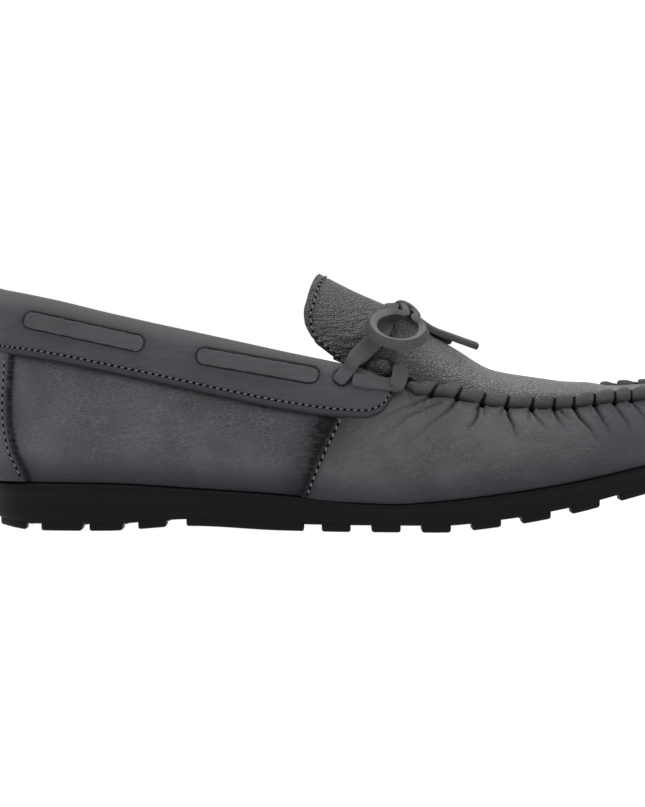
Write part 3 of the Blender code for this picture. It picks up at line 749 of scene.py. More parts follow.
def noise(node, place, scale, detail):
    """Soft random value."""
    return node("ShaderNodeTexNoise", {"Vector": place, "Scale": scale, "Detail": detail}).outputs["Fac"]


def object_place(node):
    """Place of a point in its object's own coordinates."""
    return node("ShaderNodeTexCoord").outputs["Object"]


def ramp(node, value, low, high, start=0.0, end=1.0):
    """Soft ramp of a value."""
    inputs = {0: value, 1: low, 2: high, 3: start, 4: end}
    return node("ShaderNodeMapRange", inputs, interpolation_type="SMOOTHSTEP").outputs[0]


def math_node(node, operation, first, second):
    """Arithmetic on two values."""
    return node("ShaderNodeMath", {0: first, 1: second}, operation=operation).outputs[0]


def value_of(node, name):
    """Value that a sheet carries at its vertices."""
    return node("ShaderNodeAttribute", attribute_name=name).outputs["Fac"]


# Fine folds of bent leather are long along the shoe and close together in height
FOLD_SCALE = (160.0, 300.0, 750.0)
MOTTLE_TONE = (0.010, 0.010, 0.012)    # dark spots in the hide
PEBBLE_HIGHLIGHT_TONE = (0.200, 0.200, 0.205)     # painted highlight on the tops of the pebbles
SHADE_TONE = (0.014, 0.014, 0.022)     # painted shade low on the wall where it turns under and on the tongue's flanks; also darker towards the toe
# painted shade in the troughs of the fine folds
FOLD_SHADE_TONE = (0.008, 0.008, 0.010)
# burnished finish at seams and edges, and painted shade in notches, creases, grooves and under overlapping
# edges
BURNISH_AND_SHADE_TONE = (0.006, 0.006, 0.008)
# Grain is the pebble's size in millimetres, stretch its shape along the three axes, line_width the share of a
# pebble that the line round it takes, depth the relief in millimetres
Hide = namedtuple("Hide", "name colour grain stretch line_width line_colour crown depth gloss rough")


def pebbled_leather(hide):
    """Full-grain leather with pebbles and lines between them, hand-burnished dark at seams, with painted
    shade in creases, notches and grooves and, where the hide asks, a painted highlight on the pebbles' tops.
    """
    material, node = new_material(hide.name)
    place = object_place(node)
    scale = [1.0 / (hide.grain * MM * s) for s in hide.stretch]
    cells_at = node("ShaderNodeMapping", {"Vector": place, "Scale": scale}).outputs[0]
    wobble = node("ShaderNodeTexNoise", {"Vector": cells_at, "Scale": 0.7, "Detail": 2.0}).outputs["Color"]
    warped = node("ShaderNodeVectorMath", {0: wobble, 1: (0.4, 0.4, 0.4)}, operation="MULTIPLY").outputs[0]
    cells_at = node("ShaderNodeVectorMath", {0: cells_at, 1: warped}, operation="ADD").outputs[0]
    to_edge = node("ShaderNodeTexVoronoi", {"Vector": cells_at, "Scale": 1.0}, feature="DISTANCE_TO_EDGE")
    to_edge = to_edge.outputs["Distance"]
    pebble = ramp(node, to_edge, 0.0, hide.line_width)
    mottle = noise(node, cells_at, 0.9, 3.0)
    fine = noise(node, cells_at, 5.0, 4.0)
    cloud = noise(node, place, 55.0, 3.0)
    patches = noise(node, place, 80.0, 2.0)
    low = value_of(node, "low")

    tone = between_shades(node, ramp(node, cloud, 0.3, 0.7), hide.colour, 0.84, 1.22)
    tone = mix_colour(node, ramp(node, mottle, 0.3, 0.7, 0.2, 0.0), tone, MOTTLE_TONE)
    faint = ramp(node, patches, 0.35, 0.65, 0.25, 0.75)
    faint = math_node(node, "MULTIPLY", faint, math_node(node, "SUBTRACT", 1.0, low))
    lines = mix_colour(node, faint, tone, hide.line_colour)
    tone = mix_colour(node, pebble, lines, tone)
    # painted highlight: the pebbles' tops lighter, as if lit from above
    crown = ramp(node, to_edge, hide.line_width * 0.6, hide.line_width * 1.3, 0.0, hide.crown)
    tone = mix_colour(node, crown, tone, PEBBLE_HIGHLIGHT_TONE)
    # painted shade where the sheet's low value says: low on the wall and on the tongue; darker towards the
    # toe
    tone = mix_colour(node, low, tone, SHADE_TONE)
    fold_at = node("ShaderNodeMapping", {"Vector": place, "Scale": FOLD_SCALE}).outputs[0]
    folds = noise(node, fold_at, 1.0, 3.0)
    folds = ramp(node, folds, 0.35, 0.65)
    wrinkle = value_of(node, "wrinkle")
    # painted shade in the fold troughs, where the sheet's wrinkle value says
    trough = math_node(node, "MULTIPLY", ramp(node, folds, 0.0, 0.5, 0.22, 0.0), wrinkle)
    tone = mix_colour(node, trough, tone, FOLD_SHADE_TONE)
    patchy = ramp(node, mottle, 0.3, 0.7, 0.75, 1.2)
    # burnished finish and painted shade, as the sheet's value gives them
    burnish = math_node(node, "MULTIPLY", value_of(node, "burnish"), patchy)
    burnish = node("ShaderNodeClamp", {"Value": burnish}).outputs[0]
    tone = mix_colour(node, burnish, tone, BURNISH_AND_SHADE_TONE)

    shine = ramp(node, fine, 0.25, 0.75, hide.rough + 0.08, hide.rough - 0.08)
    matt = math_node(node, "MULTIPLY", math_node(node, "SUBTRACT", 1.0, shine), burnish)
    rough = math_node(node, "ADD", shine, matt)
    height = math_node(node, "ADD", pebble, math_node(node, "MULTIPLY", fine, 0.5))
    height = math_node(node, "ADD", height, math_node(node, "MULTIPLY", folds, wrinkle))
    return shaped_surface(material, node, tone, rough, height, 0.8, hide.depth * MM, hide.gloss)


BRUSH_SCALE = (130.0, 200.0, 800.0)    # the smooth leathers are brushed along the shoe
# burnished finish and painted shade on the smooth leathers
SMOOTH_BURNISH_AND_SHADE_TONE = (0.011, 0.011, 0.014)


def smooth_leather(name, colour, rough, edge_colour=None):
    """Matte smooth leather with a fine nap, burnished and darkened with painted shade where a value says so;
    paler edges carry a painted highlight.
    """
    material, node = new_material(name)
    place = object_place(node)
    nap = noise(node, place, 1900.0, 4.0)
    pores = node("ShaderNodeTexVoronoi", {"Vector": place, "Scale": 1500.0}).outputs["Distance"]
    cloud = noise(node, place, 70.0, 4.0)
    tone = between_shades(node, ramp(node, cloud, 0.3, 0.7), colour, 0.8, 1.2)
    brushed_at = node("ShaderNodeMapping", {"Vector": place, "Scale": BRUSH_SCALE}).outputs[0]
    brushed = noise(node, brushed_at, 1.0, 4.0)
    streaks = between_shades(node, ramp(node, brushed, 0.35, 0.65), colour, 0.8, 1.2)
    tone = mix_colour(node, 0.5, tone, streaks)
    speckle = between_shades(node, ramp(node, nap, 0.3, 0.7), colour, 0.8, 1.2)
    tone = mix_colour(node, 0.25, tone, speckle)
    # paler edges: painted highlight along the band's top, pale cut edges with painted highlight on the laces
    if edge_colour:
        tone = mix_colour(node, value_of(node, "edge"), tone, edge_colour)
    # burnished finish and painted shade, as the sheet's value gives them
    burnish = node("ShaderNodeClamp", {"Value": value_of(node, "burnish")}).outputs[0]
    tone = mix_colour(node, burnish, tone, SMOOTH_BURNISH_AND_SHADE_TONE)
    sheen = ramp(node, nap, 0.25, 0.75, rough + 0.07, rough - 0.07)
    height = math_node(node, "ADD", nap, math_node(node, "MULTIPLY", pores, 0.4))
    return shaped_surface(material, node, tone, sheen, height, 0.5, 0.12 * MM, 0.2)


def moulded_rubber():
    """Satin black sole rubber with a fine moulded texture."""
    material, node = new_material("moulded_rubber")
    place = object_place(node)
    grit = noise(node, place, 2600.0, 2.0)
    cloud = noise(node, place, 60.0, 3.0)
    tone = mix_colour(node, ramp(node, cloud, 0.3, 0.7), (0.0022, 0.0022, 0.0026), (0.0036, 0.0036, 0.0042))
    rough = ramp(node, cloud, 0.3, 0.7, 0.44, 0.54)
    return shaped_surface(material, node, tone, rough, grit, 0.35, 0.08 * MM, 0.12)


def waxed_thread(name, colour, gloss=0.3):
    """Twisted sewing thread."""
    material, node = new_material(name)
    place = object_place(node)
    twist = node("ShaderNodeTexWave", {"Vector": place, "Scale": 900.0, "Distortion": 3.0}).outputs["Fac"]
    tone = between_shades(node, twist, colour, 0.6, 1.0)
    return shaped_surface(material, node, tone, 0.6, twist, 0.5, 0.1 * MM, gloss)


QUARTER_LEATHER = pebbled_leather(
    Hide(
        name="quarter_leather",
        colour=(0.062, 0.063, 0.071),
        grain=1.3,
        stretch=(2.3, 1.5, 0.85),
        line_width=0.14,
        line_colour=(0.108, 0.109, 0.114),
        crown=0.0,
        depth=0.10,
        gloss=0.26,
        rough=0.55,
    )
)
VAMP_LEATHER = pebbled_leather(
    Hide(
        name="vamp_leather",
        colour=(0.072, 0.072, 0.078),
        grain=1.2,
        stretch=(2.2, 1.6, 0.9),
        line_width=0.15,
        line_colour=(0.095, 0.095, 0.100),
        crown=0.0,
        depth=0.10,
        gloss=0.14,
        rough=0.6,
    )
)
# lighter than the vamp's hide, partly painted light for the glancing reflection; painted highlight on the
# pebbles' tops and painted shade in the dark lines between them
PLUG_LEATHER = pebbled_leather(
    Hide(
        name="plug_leather",
        colour=(0.102, 0.102, 0.105),
        grain=1.05,
        stretch=(1.7, 1.5, 1.0),
        line_width=0.26,
        line_colour=(0.022, 0.022, 0.024),
        crown=0.3,
        depth=1.0,
        gloss=1.0,
        rough=0.36,
    )
)
# edge colours: painted highlight along the band's top, the laces' pale cut edges with painted highlight
BAND_LEATHER = smooth_leather("band_leather", (0.050, 0.051, 0.058), 0.62, (0.098, 0.098, 0.102))
LACE_LEATHER = smooth_leather("lace_leather", (0.061, 0.062, 0.067), 0.68, (0.135, 0.133, 0.132))
LINING_LEATHER = smooth_leather("lining_leather", (0.07, 0.07, 0.074), 0.75)
CUT_EDGE = smooth_leather("cut_leather_edge", (0.13, 0.128, 0.125), 0.8)
SOLE_RUBBER = moulded_rubber()
PALE_THREAD = waxed_thread("pale_thread", (0.17, 0.17, 0.18))
GREY_THREAD = waxed_thread("grey_thread", (0.14, 0.14, 0.145))
# black beads between the stitches: painted shade in the needle holes
PAINTED_HOLE_SHADE = waxed_thread("needle_hole_shade", (0.001, 0.001, 0.001), 0.0)


# Camera, floor and light


def photo_camera():
    """Camera at the photograph's angle and frame."""
    centre_station = (PHOTO_SIZE[0] / 2 - HEEL_PIXEL) * PIXEL
    centre_height = (FLOOR_PIXEL - PHOTO_SIZE[1] / 2) * PIXEL
    target = Vector(in_frame([centre_station, NEAR_SIDE, centre_height]))
    tilt = math.radians(CAMERA_TILT)
    back = Vector((0.0, -math.cos(tilt), math.sin(tilt)))
    data = bpy.data.cameras.new("photo_camera")
    data.sensor_width = SENSOR
    data.lens = SENSOR * CAMERA_DISTANCE / (PHOTO_SIZE[1] * PIXEL)
    camera = bpy.data.objects.new("photo_camera", data)
    camera.location = target + back * CAMERA_DISTANCE * MM
    camera.rotation_euler = (-back).to_track_quat("-Z", "Y").to_euler()
    bpy.context.scene.collection.objects.link(camera)
    bpy.context.scene.camera = camera


def studio():
    """Glowing white floor, and surroundings that light the shoe softly and look white."""
    bm = bmesh.new()
    bmesh.ops.create_grid(bm, x_segments=1, y_segments=1, size=20.0)
    mesh = bpy.data.meshes.new("studio_floor")
    bm.to_mesh(mesh)
    bm.free()
    material = new_material("studio_floor")[0]
    looks = {
        "Base Color": (FLOOR_TONE, FLOOR_TONE, FLOOR_TONE, 1.0),
        "Roughness": 0.9,
        "Specular IOR Level": 0.1,
        "Emission Color": WHITE,
        "Emission Strength": FLOOR_GLOW,
    }
    fill_inputs(material.node_tree.nodes["Principled BSDF"], looks)
    mesh.materials.append(material)
    floor = bpy.data.objects.new("studio_floor", mesh)
    bpy.context.scene.collection.objects.link(floor)
    world = bpy.data.worlds.new("studio_white")
    world.use_nodes = True
    node = node_adder(world.node_tree)
    direction = node("ShaderNodeTexCoord").outputs["Generated"]
    upward = node("ShaderNodeSeparateXYZ", {0: direction}).outputs["Z"]
    glow = ramp(node, upward, *CEILING_EDGE, SURROUND_LIGHT, CEILING_LIGHT)
    seen = node("ShaderNodeLightPath").outputs["Is Camera Ray"]
    glow = node("ShaderNodeMix", {0: seen, 2: glow, 3: 1.0}).outputs[0]
    fill_inputs(world.node_tree.nodes["Background"], {"Color": WHITE, "Strength": glow})
    bpy.context.scene.world = world
    bpy.context.scene.view_settings.view_transform = "Standard"


photo_camera()
studio()


# Lace halves: each runs from the band's last hole over the tongue, through the knot, round its loop and out


def mirrored(route):
    """Route on the other side of the tongue's centre line."""
    return [(x, 2 * TONGUE_MID - y, third) for x, y, third in route]


def loop_directions():
    """Axis of the bow loop's ring and the two directions in its plane."""
    axis = unit(np.array(LOOP_AXIS))
    along = unit(np.array([1.0, 0.0, 0.0]) - axis[0] * axis)
    return axis, along, np.cross(axis, along)


def loop_ring():
    """Points of the outer bow loop's ring."""
    axis, along, upward = loop_directions()
    turns = np.radians(list(LOOP_ANGLES))
    spokes = np.cos(turns)[:, None] * along + np.sin(turns)[:, None] * upward
    return [tuple(point) for point in np.array(LOOP_CENTRE) + spokes * LOOP_RADIUS]


# edge_light: how pale a stretch's cut edges are, partly painted highlight
Stretch = namedtuple("Stretch", "points across width thick edge_light")


def lace_half(side):
    """Stretches of one lace half in order, each with the direction of its width and its size."""
    flip = mirrored if side > 0 else list
    on_band = [on_wall(x, z, side, BAND_OUT + LACE_THICK / 2 - 0.2) for x, z in STRAND_ON_BAND]
    in_hole = on_wall(STRAND_ON_BAND[0][0] - 1.6, STRAND_ON_BAND[0][1] - 1.8, side, BAND_OUT - 0.6)
    strand = [tuple(in_hole)] + [tuple(point) for point in on_band] + flip(STRAND)
    strand_across = []
    for i, point in enumerate(strand):
        ahead = np.array(strand[min(i + 1, len(strand) - 1)]) - np.array(strand[max(i - 1, 0)])
        steep = np.interp(point[0], *zip(*STRAND_FACING))
        facing = np.array([0.0, side * steep, math.sqrt(1 - steep * steep)])
        strand_across.append(unit(np.cross(facing, ahead)))
    axis = loop_directions()[0] * np.array([1.0, -side, 1.0])
    middle = (KNOT_STATION, TONGUE_MID + side * 2.0, crest(KNOT_STATION, TONGUE_MID) + KNOT_LIFT)
    ring = flip(loop_ring())
    ring_middle = np.array(flip([LOOP_CENTRE])[0])
    ring_across = [axis - LOOP_FLARE * unit(np.array(point) - ring_middle) for point in ring]
    tail = TAIL_LATERAL if side < 0 else TAIL_MEDIAL
    hanging = [(x, y, crest(x, y) + lift) for x, y, lift in tail]
    flat = np.array([0.0, -side, 0.15])
    leaving = (middle[0] + 1.5, middle[1], middle[2] - 1.4)
    return [
        Stretch(strand[:4], strand_across[:4], PULLED_WIDTH, STRAND_THICK, 0.15),
        Stretch(strand[4:8], strand_across[4:8], PRESSED_WIDTH, STRAND_THICK, 0.15),
        Stretch(strand[8:], strand_across[8:], PULLED_WIDTH, STRAND_THICK, 0.1),
        Stretch([middle], [flat + axis], KNOTTED_WIDTH, STRAND_THICK, 0.1),
        Stretch(flip(LOOP_START), [axis] * 2, KNOTTED_WIDTH, LOOP_NECK_THICK, 0.1),
        Stretch(ring[:2], ring_across[:2], LOOP_WIDTH, LOOP_END_THICK, 0.3),
        # the loop's rim faces up and gets the palest edges: pale cut edge and painted highlight
        Stretch(ring[2:-2], ring_across[2:-2], LOOP_WIDTH, LOOP_THICK, 1.0),
        Stretch(ring[-2:], ring_across[-2:], LOOP_WIDTH, LOOP_END_THICK, 0.3),
        Stretch(flip(LOOP_END), [axis] * 2, KNOTTED_WIDTH, LOOP_NECK_THICK, 0.1),
        Stretch([leaving], [flat + axis], KNOTTED_WIDTH, STRAND_THICK, 0.1),
        Stretch(hanging, [flat] * len(hanging), TAIL_WIDTH, TAIL_THICK, 0.2),
    ]


def build_laces():
    """Both lace halves with the wrap of the knot."""
    turns = np.linspace(0.0, 2 * math.pi, 33)
    slope = math.radians(-KNOT_TILT)
    x, z = KNOT_HALF[0] * np.cos(turns), KNOT_HALF[1] * np.sin(turns)
    ahead = x * math.cos(slope) - z * math.sin(slope)
    rise = x * math.sin(slope) + z * math.cos(slope)
    station = KNOT_STATION + KNOT_AHEAD
    centre = np.array([station, TONGUE_MID - 1.0, crest(station, TONGUE_MID) + KNOT_LIFT - 0.2])
    path = centre + np.stack([ahead, 0 * x, rise], axis=1)
    bm = flat_lace(path, np.tile([0.1, 1.0, 0.05], (len(turns), 1)), *KNOT_SIZE)
    knot = add_piece("bow_knot_wrap", bm, LACE_LEATHER, ["bow_knot"])
    for side, word in ((-1, "lateral"), (1, "medial")):
        rows = []
        for stretch in lace_half(side):
            for point, across in zip(stretch.points, stretch.across):
                sizes = (stretch.width, stretch.thick, stretch.edge_light)
                rows.append([*point, *(unit(np.array(across)) * 4.0), *sizes])
        run = smooth_route(rows, LACE_STEP)
        path = run[:, :3]
        bm = flat_lace(path, run[:, 3:6], run[:, 6], run[:, 7], (HOLE_TIP, LACE_TIP), run[:, 8])
        nodes = [f"lace_strand_{word}", f"bow_loop_{word}", f"lace_tail_{word}"]
        piece = add_piece(f"lace_{word}", bm, LACE_LEATHER, nodes)


build_laces()


# Upper: burnish and painted shade are built up from strengths times bells of distances in millimetres


SEAM_SHARES = np.linspace(REAR_SHARE, 1 - REAR_SHARE, 601)
SEAM_LINE = wall_surface(SEAM_SHARES, 1.0)
SEAM_RUN = run_along(SEAM_LINE)
SEAM_END = SEAM_RUN[-1]
TOE_RUN = SEAM_RUN[len(SEAM_RUN) // 2]


def seam_run(share):
    """Distance along the plug seam from its lateral start."""
    return np.interp(share, SEAM_SHARES, SEAM_RUN)


def notch_runs():
    """Places along the seam where a stitch pulls it in: as in the photo, then evenly round the toe."""
    half = len(SEAM_RUN) // 2
    lateral = list(np.interp(NOTCH_STATIONS, SEAM_LINE[:half, 0], SEAM_RUN[:half]))
    spare = TOE_RUN - lateral[-1] - NOTCH_PITCH / 2
    count = int(round(spare / NOTCH_PITCH))
    lateral += [lateral[-1] + spare * (i + 1) / count for i in range(count)]
    medial = [SEAM_END - run * (SEAM_END - TOE_RUN) / TOE_RUN for run in lateral]
    return np.array([0.0] + lateral + medial[::-1] + [SEAM_END])


NOTCHES = notch_runs()


def lobe(run):
    """Swell of the gathers: each comes out from under the last and turns in sharply at its front end."""
    i = np.clip(np.searchsorted(NOTCHES, run, side="right") - 1, 0, len(NOTCHES) - 2)
    f = (run - NOTCHES[i]) / (NOTCHES[i + 1] - NOTCHES[i])
    f = np.clip((f - NOTCH_GAP) / (1 - 2 * NOTCH_GAP), 0.0, 1.0)
    comes_out = 0.3 + 0.7 * smoothstep(-0.05, 0.62, f)
    turns_in = np.sqrt(1 - np.clip((f - 0.8) / 0.2, 0.0, 1.0) ** 3)
    return comes_out * turns_in * (1 + 0.1 * np.sin(7.1 * i))


def to_notch(run):
    """Distance along the seam to the nearest notch."""
    return np.min(np.abs(run[:, None] - NOTCHES[None, 1:-1]), axis=1)


def seam_fade(share):
    """1 along the gathered seam, falling to 0 at the throat corners and behind them."""
    run = seam_run(share)
    return smoothstep(0.0, 9.0, run) * smoothstep(0.0, 9.0, SEAM_END - run)


def vamp_wall(share, h):
    """Wall of the vamp, whose top is the foot of the gathered seam."""
    fade = seam_fade(share)
    return wall_surface(share, h, RIDGE_SINK * fade, RIDGE_SPREAD * fade)


def distance_to_line(points, line):
    """Distance of points from a line of a few points, and how far along it they lie from 0 to 1."""
    best = np.full(len(points), 1e9)
    along = np.zeros(len(points))
    lengths = [np.linalg.norm(b - a) for a, b in zip(line, line[1:])]
    done = 0.0
    for a, b, length in zip(line, line[1:], lengths):
        f = np.clip((points - a) @ (b - a) / length ** 2, 0.0, 1.0)
        distance = np.linalg.norm(points - a - f[:, None] * (b - a), axis=1)
        nearer = distance < best
        best = np.where(nearer, distance, best)
        along = np.where(nearer, (done + f * length) / sum(lengths), along)
        done += length
    return best, along


def crease_relief(points, lines):
    """Depth of the creases at each point, and the painted shade that darkens them."""
    relief = np.zeros(len(points))
    shade = np.zeros(len(points))
    for line, depth, width in lines:
        distance, along = distance_to_line(points, line)
        spread = width * (0.85 + 0.35 * along)
        strength = depth * (1 - along) ** 0.8
        trough = CREASE_CORE * bell(distance, 0.6 * spread) + (1 - CREASE_CORE) * bell(distance, 1.5 * spread)
        fold = CREASE_FOLD * bell(distance - 2.4 * spread, spread) if depth > FINE_CREASE else 0.0
        relief += CREASE_DEPTH * strength * (fold - trough)
        # painted shade along each crease
        shade = np.maximum(shade, CREASE_SHADE * strength * bell(distance, 0.75 * spread))
    return relief, shade


def between_marks(marks, spacing):
    """Points at a spacing along a line of a few marks."""
    marks = np.array(marks)
    run = run_along(marks)
    places = np.linspace(0.0, run[-1], max(int(run[-1] / spacing), 2))
    return np.stack([np.interp(places, run, marks[:, k]) for k in range(2)], axis=1)


def crease_lines():
    """Creases of the vamp as lines in space, on both sides and round the toe."""
    lines = []
    notch_shares = np.interp(NOTCHES[1:-1], SEAM_RUN, SEAM_SHARES)
    notch_feet = vamp_wall(notch_shares, np.ones(len(notch_shares)))
    for side in (-1, 1):
        shares = np.linspace(0.2, 0.5, 301)
        if side > 0:
            shares = 1.0 - shares
        grid_share, grid_h = np.meshgrid(shares, np.linspace(0.3, 1.0, 141))
        spots = vamp_wall(grid_share.ravel(), grid_h.ravel())
        for marks, depth, width in CREASES:
            line = []
            for station, height in between_marks(marks, 1.5):
                miss = (spots[:, 0] - station) ** 2 + (spots[:, 2] - height) ** 2
                line.append(spots[np.argmin(miss)])
            away = np.linalg.norm(notch_feet - line[0], axis=1)
            if away.min() < NOTCH_PITCH / 2:
                line = [notch_feet[np.argmin(away)]] + line[1:]
            lines.append((line, depth, width))
    last_seen = np.interp(CREASES[-1][0][0][0], SEAM_LINE[:300, 0], SEAM_RUN[:300]) + 1.0
    for i, run in enumerate(NOTCHES):
        if last_seen < run < SEAM_END - last_seen:
            share = np.interp(run, SEAM_RUN, SEAM_SHARES)
            swing = 0.006 * math.sin(2.3 * i)
            line = [vamp_wall(share + swing * f, 1.0 - 0.34 * f) for f in (0.0, 0.5, 1.0)]
            lines.append((line, TOE_CREASE, 0.9))
    for i, share in enumerate(notch_shares):
        for swing in (-0.008, 0.009):
            reach = 0.19 + 0.06 * math.sin(3.7 * i + 300 * swing)
            line = [vamp_wall(share + swing * f, 1.0 - reach * f) for f in (0.0, 0.35, 0.7, 1.0)]
            lines.append((line, FINE_CREASE, 0.7))
    return lines


def quarter_seam_share(h, side):
    """Place round the shoe of the vamp's rear edge at a height up the wall."""
    middle = side_share(QUARTER_SEAM_FOOT[0] + 7.0, side)
    height = wall_surface(np.full(np.shape(h), middle), h)[..., 2]
    station = QUARTER_SEAM_FOOT[0] + QUARTER_SEAM_SLOPE * (height - QUARTER_SEAM_FOOT[1])
    return side_share(station, side)


def vamp_place(u, v):
    """Vamp from its lateral rear edge round the toe to the medial one, up the wall to the gathered seam."""
    h = 1 - (1 - v) ** 1.25
    lateral, medial = quarter_seam_share(h, -1), quarter_seam_share(h, 1)
    share = np.where(u < 0.5, lateral + (0.5 - lateral) * 2 * u, 0.5 + (medial - 0.5) * (2 * u - 1))
    from_edge = np.minimum(share - lateral, medial - share) * SHARE_LENGTH
    fade = seam_fade(share)
    points = vamp_wall(share, h)
    below = np.linalg.norm(points - vamp_wall(share, np.ones(len(share))), axis=1)
    run = seam_run(share)

    edge_round = rounded_rim(from_edge, 0.9)
    lap = VAMP_LAP * edge_round * (1 - 0.7 * smoothstep(6.0, 26.0, from_edge))
    lap = lap - stitch_groove(from_edge, EDGE_STITCH)
    groove = fade * (0.35 * np.exp(-below / 3.0) + 0.6 * bell(below, 1.3))
    pillow = 1.1 * lobe(run) * fade * np.exp(-below / 5.0) - groove
    creases, crease_shade = crease_relief(points, VAMP_CREASES)
    # burnished finish along the vamp's rear edge and high up beside it; painted shade in the notches, along
    # the foot of the gathers and in the creases
    burnish = strongest(
        1.6 * fade * bell(to_notch(run), 0.7) * bell(below, 2.6),
        1.0 * fade * bell(below, 1.0),
        0.35 * fade * bell(below, 3.0),
        np.minimum(crease_shade, 1.0),
        0.85 * bell(from_edge, 3.2),
        0.55 * bell(from_edge, 11.0) * smoothstep(22.0, 44.0, points[:, 2]),
    )
    above_sole = points[:, 2] - feather(outline_point(share)[1][:, 0])
    toe = smoothstep(212.0, 285.0, points[:, 0])
    # painted shade low on the wall, where it turns under towards the sole; darker towards the toe
    low = np.maximum(0.62 * (1 - smoothstep(1.0, 13.0, above_sole)), 0.6 * toe)
    return points, {"burnish": burnish, "low": low}, lap + pillow + creases


def gathers_place(u, v):
    """Gathered leather that rolls from the vamp's top over the plug's edge; u runs along the seam."""
    run = u * SEAM_END
    share = np.interp(run, SEAM_RUN, SEAM_SHARES)
    foot = vamp_wall(share, np.ones(len(share)))
    slant = NOTCH_SLANT * (np.exp(-run / SLANT_REACH) - np.exp((run - SEAM_END) / SLANT_REACH))
    lean_run = np.clip(run - slant * (v - 0.3), 0.0, SEAM_END)
    size = smoothstep(-1.5, 4.0, run) * smoothstep(-1.5, 4.0, SEAM_END - run)
    swell = lobe(lean_run) * size
    half_width = LOBE_HALF_WIDTH * (0.45 + 0.55 * swell) * size
    half_height = LOBE_HALF_HEIGHT * (0.62 + 0.38 * swell) * size
    foot[:, 2] += size * (0.3 - 0.9 * swell)
    start = math.radians(-LOBE_START)
    turn = start + np.radians((LOBE_END + LOBE_START + LOBE_TUCK) * v - LOBE_TUCK)
    outward = outline_point(share)[2]
    aside = half_width * (np.cos(turn) - math.cos(start))
    rise = half_height * (np.sin(turn) - math.sin(start))
    points = foot + np.concatenate([outward * aside[:, None], rise[:, None]], axis=1)
    underside = 1 - smoothstep(math.radians(-70.0), math.radians(20.0), turn)
    # painted shade over the lobes, strongest on their undersides, in the notches between them and where they
    # tuck in
    burnish = strongest(
        1.7 * bell(to_notch(lean_run), 0.55 + 0.75 * underside),
        0.08 + 0.62 * underside,
        0.9 * bell(turn - math.radians(LOBE_END), 0.4),
    )
    return points, {"burnish": burnish, "low": np.zeros(len(u))}, None


VAMP_CREASES = crease_lines()


def quarters_place(u, v):
    """Both quarters in one round the heel; their front edges run under the vamp."""
    h = v * 0.985
    lateral, medial = quarter_seam_share(h, -1), quarter_seam_share(h, 1) - 1.0
    share = np.where(u < 0.5, medial + (0.0 - medial) * 2 * u, lateral * (2 * u - 1))
    under = 5.0 / SHARE_LENGTH
    share = share * (1 + under / 0.22)
    points = wall_surface(share, h)
    to_seam = np.minimum(lateral - share, share - medial) * SHARE_LENGTH
    station = outline_point(share)[1][:, 0]
    below_band = band_edge(station) - points[:, 2]
    strap = strap_half(points[:, 2]) / SHARE_LENGTH
    to_strap = np.abs(np.abs(share) - strap) * SHARE_LENGTH
    reach = 4.0 + 6.0 * smoothstep(14.0, 44.0, points[:, 2])
    # burnished finish beside the vamp seam; painted shadow below the collar band's edge and beside the back
    # strap's edge
    burnish = strongest(
        (0.85 + 0.4 * smoothstep(20.0, 44.0, points[:, 2])) * bell(np.maximum(to_seam, 0.0), reach),
        0.6 * bell(to_seam, 2.2 * reach),
        0.85 * np.exp(-np.maximum(below_band, 0.0) / 1.6),
        0.30 * np.exp(-np.maximum(below_band, 0.0) / 7.0),
        1.0 * bell(to_strap, 1.8),
        0.35 * bell(to_strap, 5.0),
    )
    # painted shade low on the wall, where it turns under
    low = 0.9 * (1 - smoothstep(0.5, 14.0, points[:, 2] - feather(station)))
    return points, {"burnish": burnish, "low": low}, np.zeros(len(u))


# Height and half width of the back strap
STRAP_HALVES = [(20.0, 33.0), (32.0, 29.2), (46.0, 27.4), (60.0, 27.0), (72.0, 26.4)]
strap_half = table_curve(STRAP_HALVES, 1)
STRAP_RISE = 1.4         # thickness of the strap
STRAP_GAP = 0.1          # air under it


def strap_place(u, v):
    """Back strap from the sole to under the collar band."""
    side = 2 * u - 1
    guess = 21.0 + 52.0 * v
    share = side * strap_half(guess) / SHARE_LENGTH
    station = outline_point(share)[1][:, 0]
    h = 0.01 + (wall_share_up(share, band_edge(station) + 2.0) - 0.01) * v
    height = wall_surface(share, h)[:, 2]
    half = strap_half(height)
    share = side * half / SHARE_LENGTH
    from_edge = (1 - np.abs(side)) * half
    edge_round = rounded_rim(from_edge, 0.9)
    out = STRAP_GAP + STRAP_RISE * edge_round - stitch_groove(from_edge, STRAP_STITCH)
    points = wall(share, h, out)
    # painted shade low on the wall, where it turns under
    low = 0.8 * (1 - smoothstep(0.5, 13.0, height - 20.0))
    # painted shade along the strap's thick edges
    burnish = np.maximum(0.95 * bell(from_edge, 1.4), 0.35 * bell(from_edge, 4.0))
    return points, {"burnish": burnish, "low": low}, None


TONGUE_PART = 0.26       # share of the apron's length that is tongue
EDGE_CROWD = 0.6         # how much closer the rows lie at the tongue's edges
PLUG_THICK = 1.6


def seam_distance(points):
    """Plan distance of points from the plug seam."""
    best = np.full(len(points), 1e9)
    for mark in SEAM_LINE[::4]:
        best = np.minimum(best, np.hypot(points[:, 0] - mark[0], points[:, 1] - mark[1]))
    return best


def apron_surface(u, v):
    """Tongue and plug as the one piece they are cut from; u runs from the tongue's free end to the toe."""
    a_tongue = np.clip(u / TONGUE_PART, 0.0, 1.0)
    a_plug = np.clip((u - TONGUE_PART) / (1 - TONGUE_PART), 0.0, 1.0)
    root = plug(np.zeros(len(u)), v)
    flap = tongue(a_tongue, v)
    join = smoothstep(0.45, 1.0, a_tongue)[:, None]
    flap = flap * (1 - join) + root * join
    return np.where((u > TONGUE_PART)[:, None], plug(a_plug, v), flap)


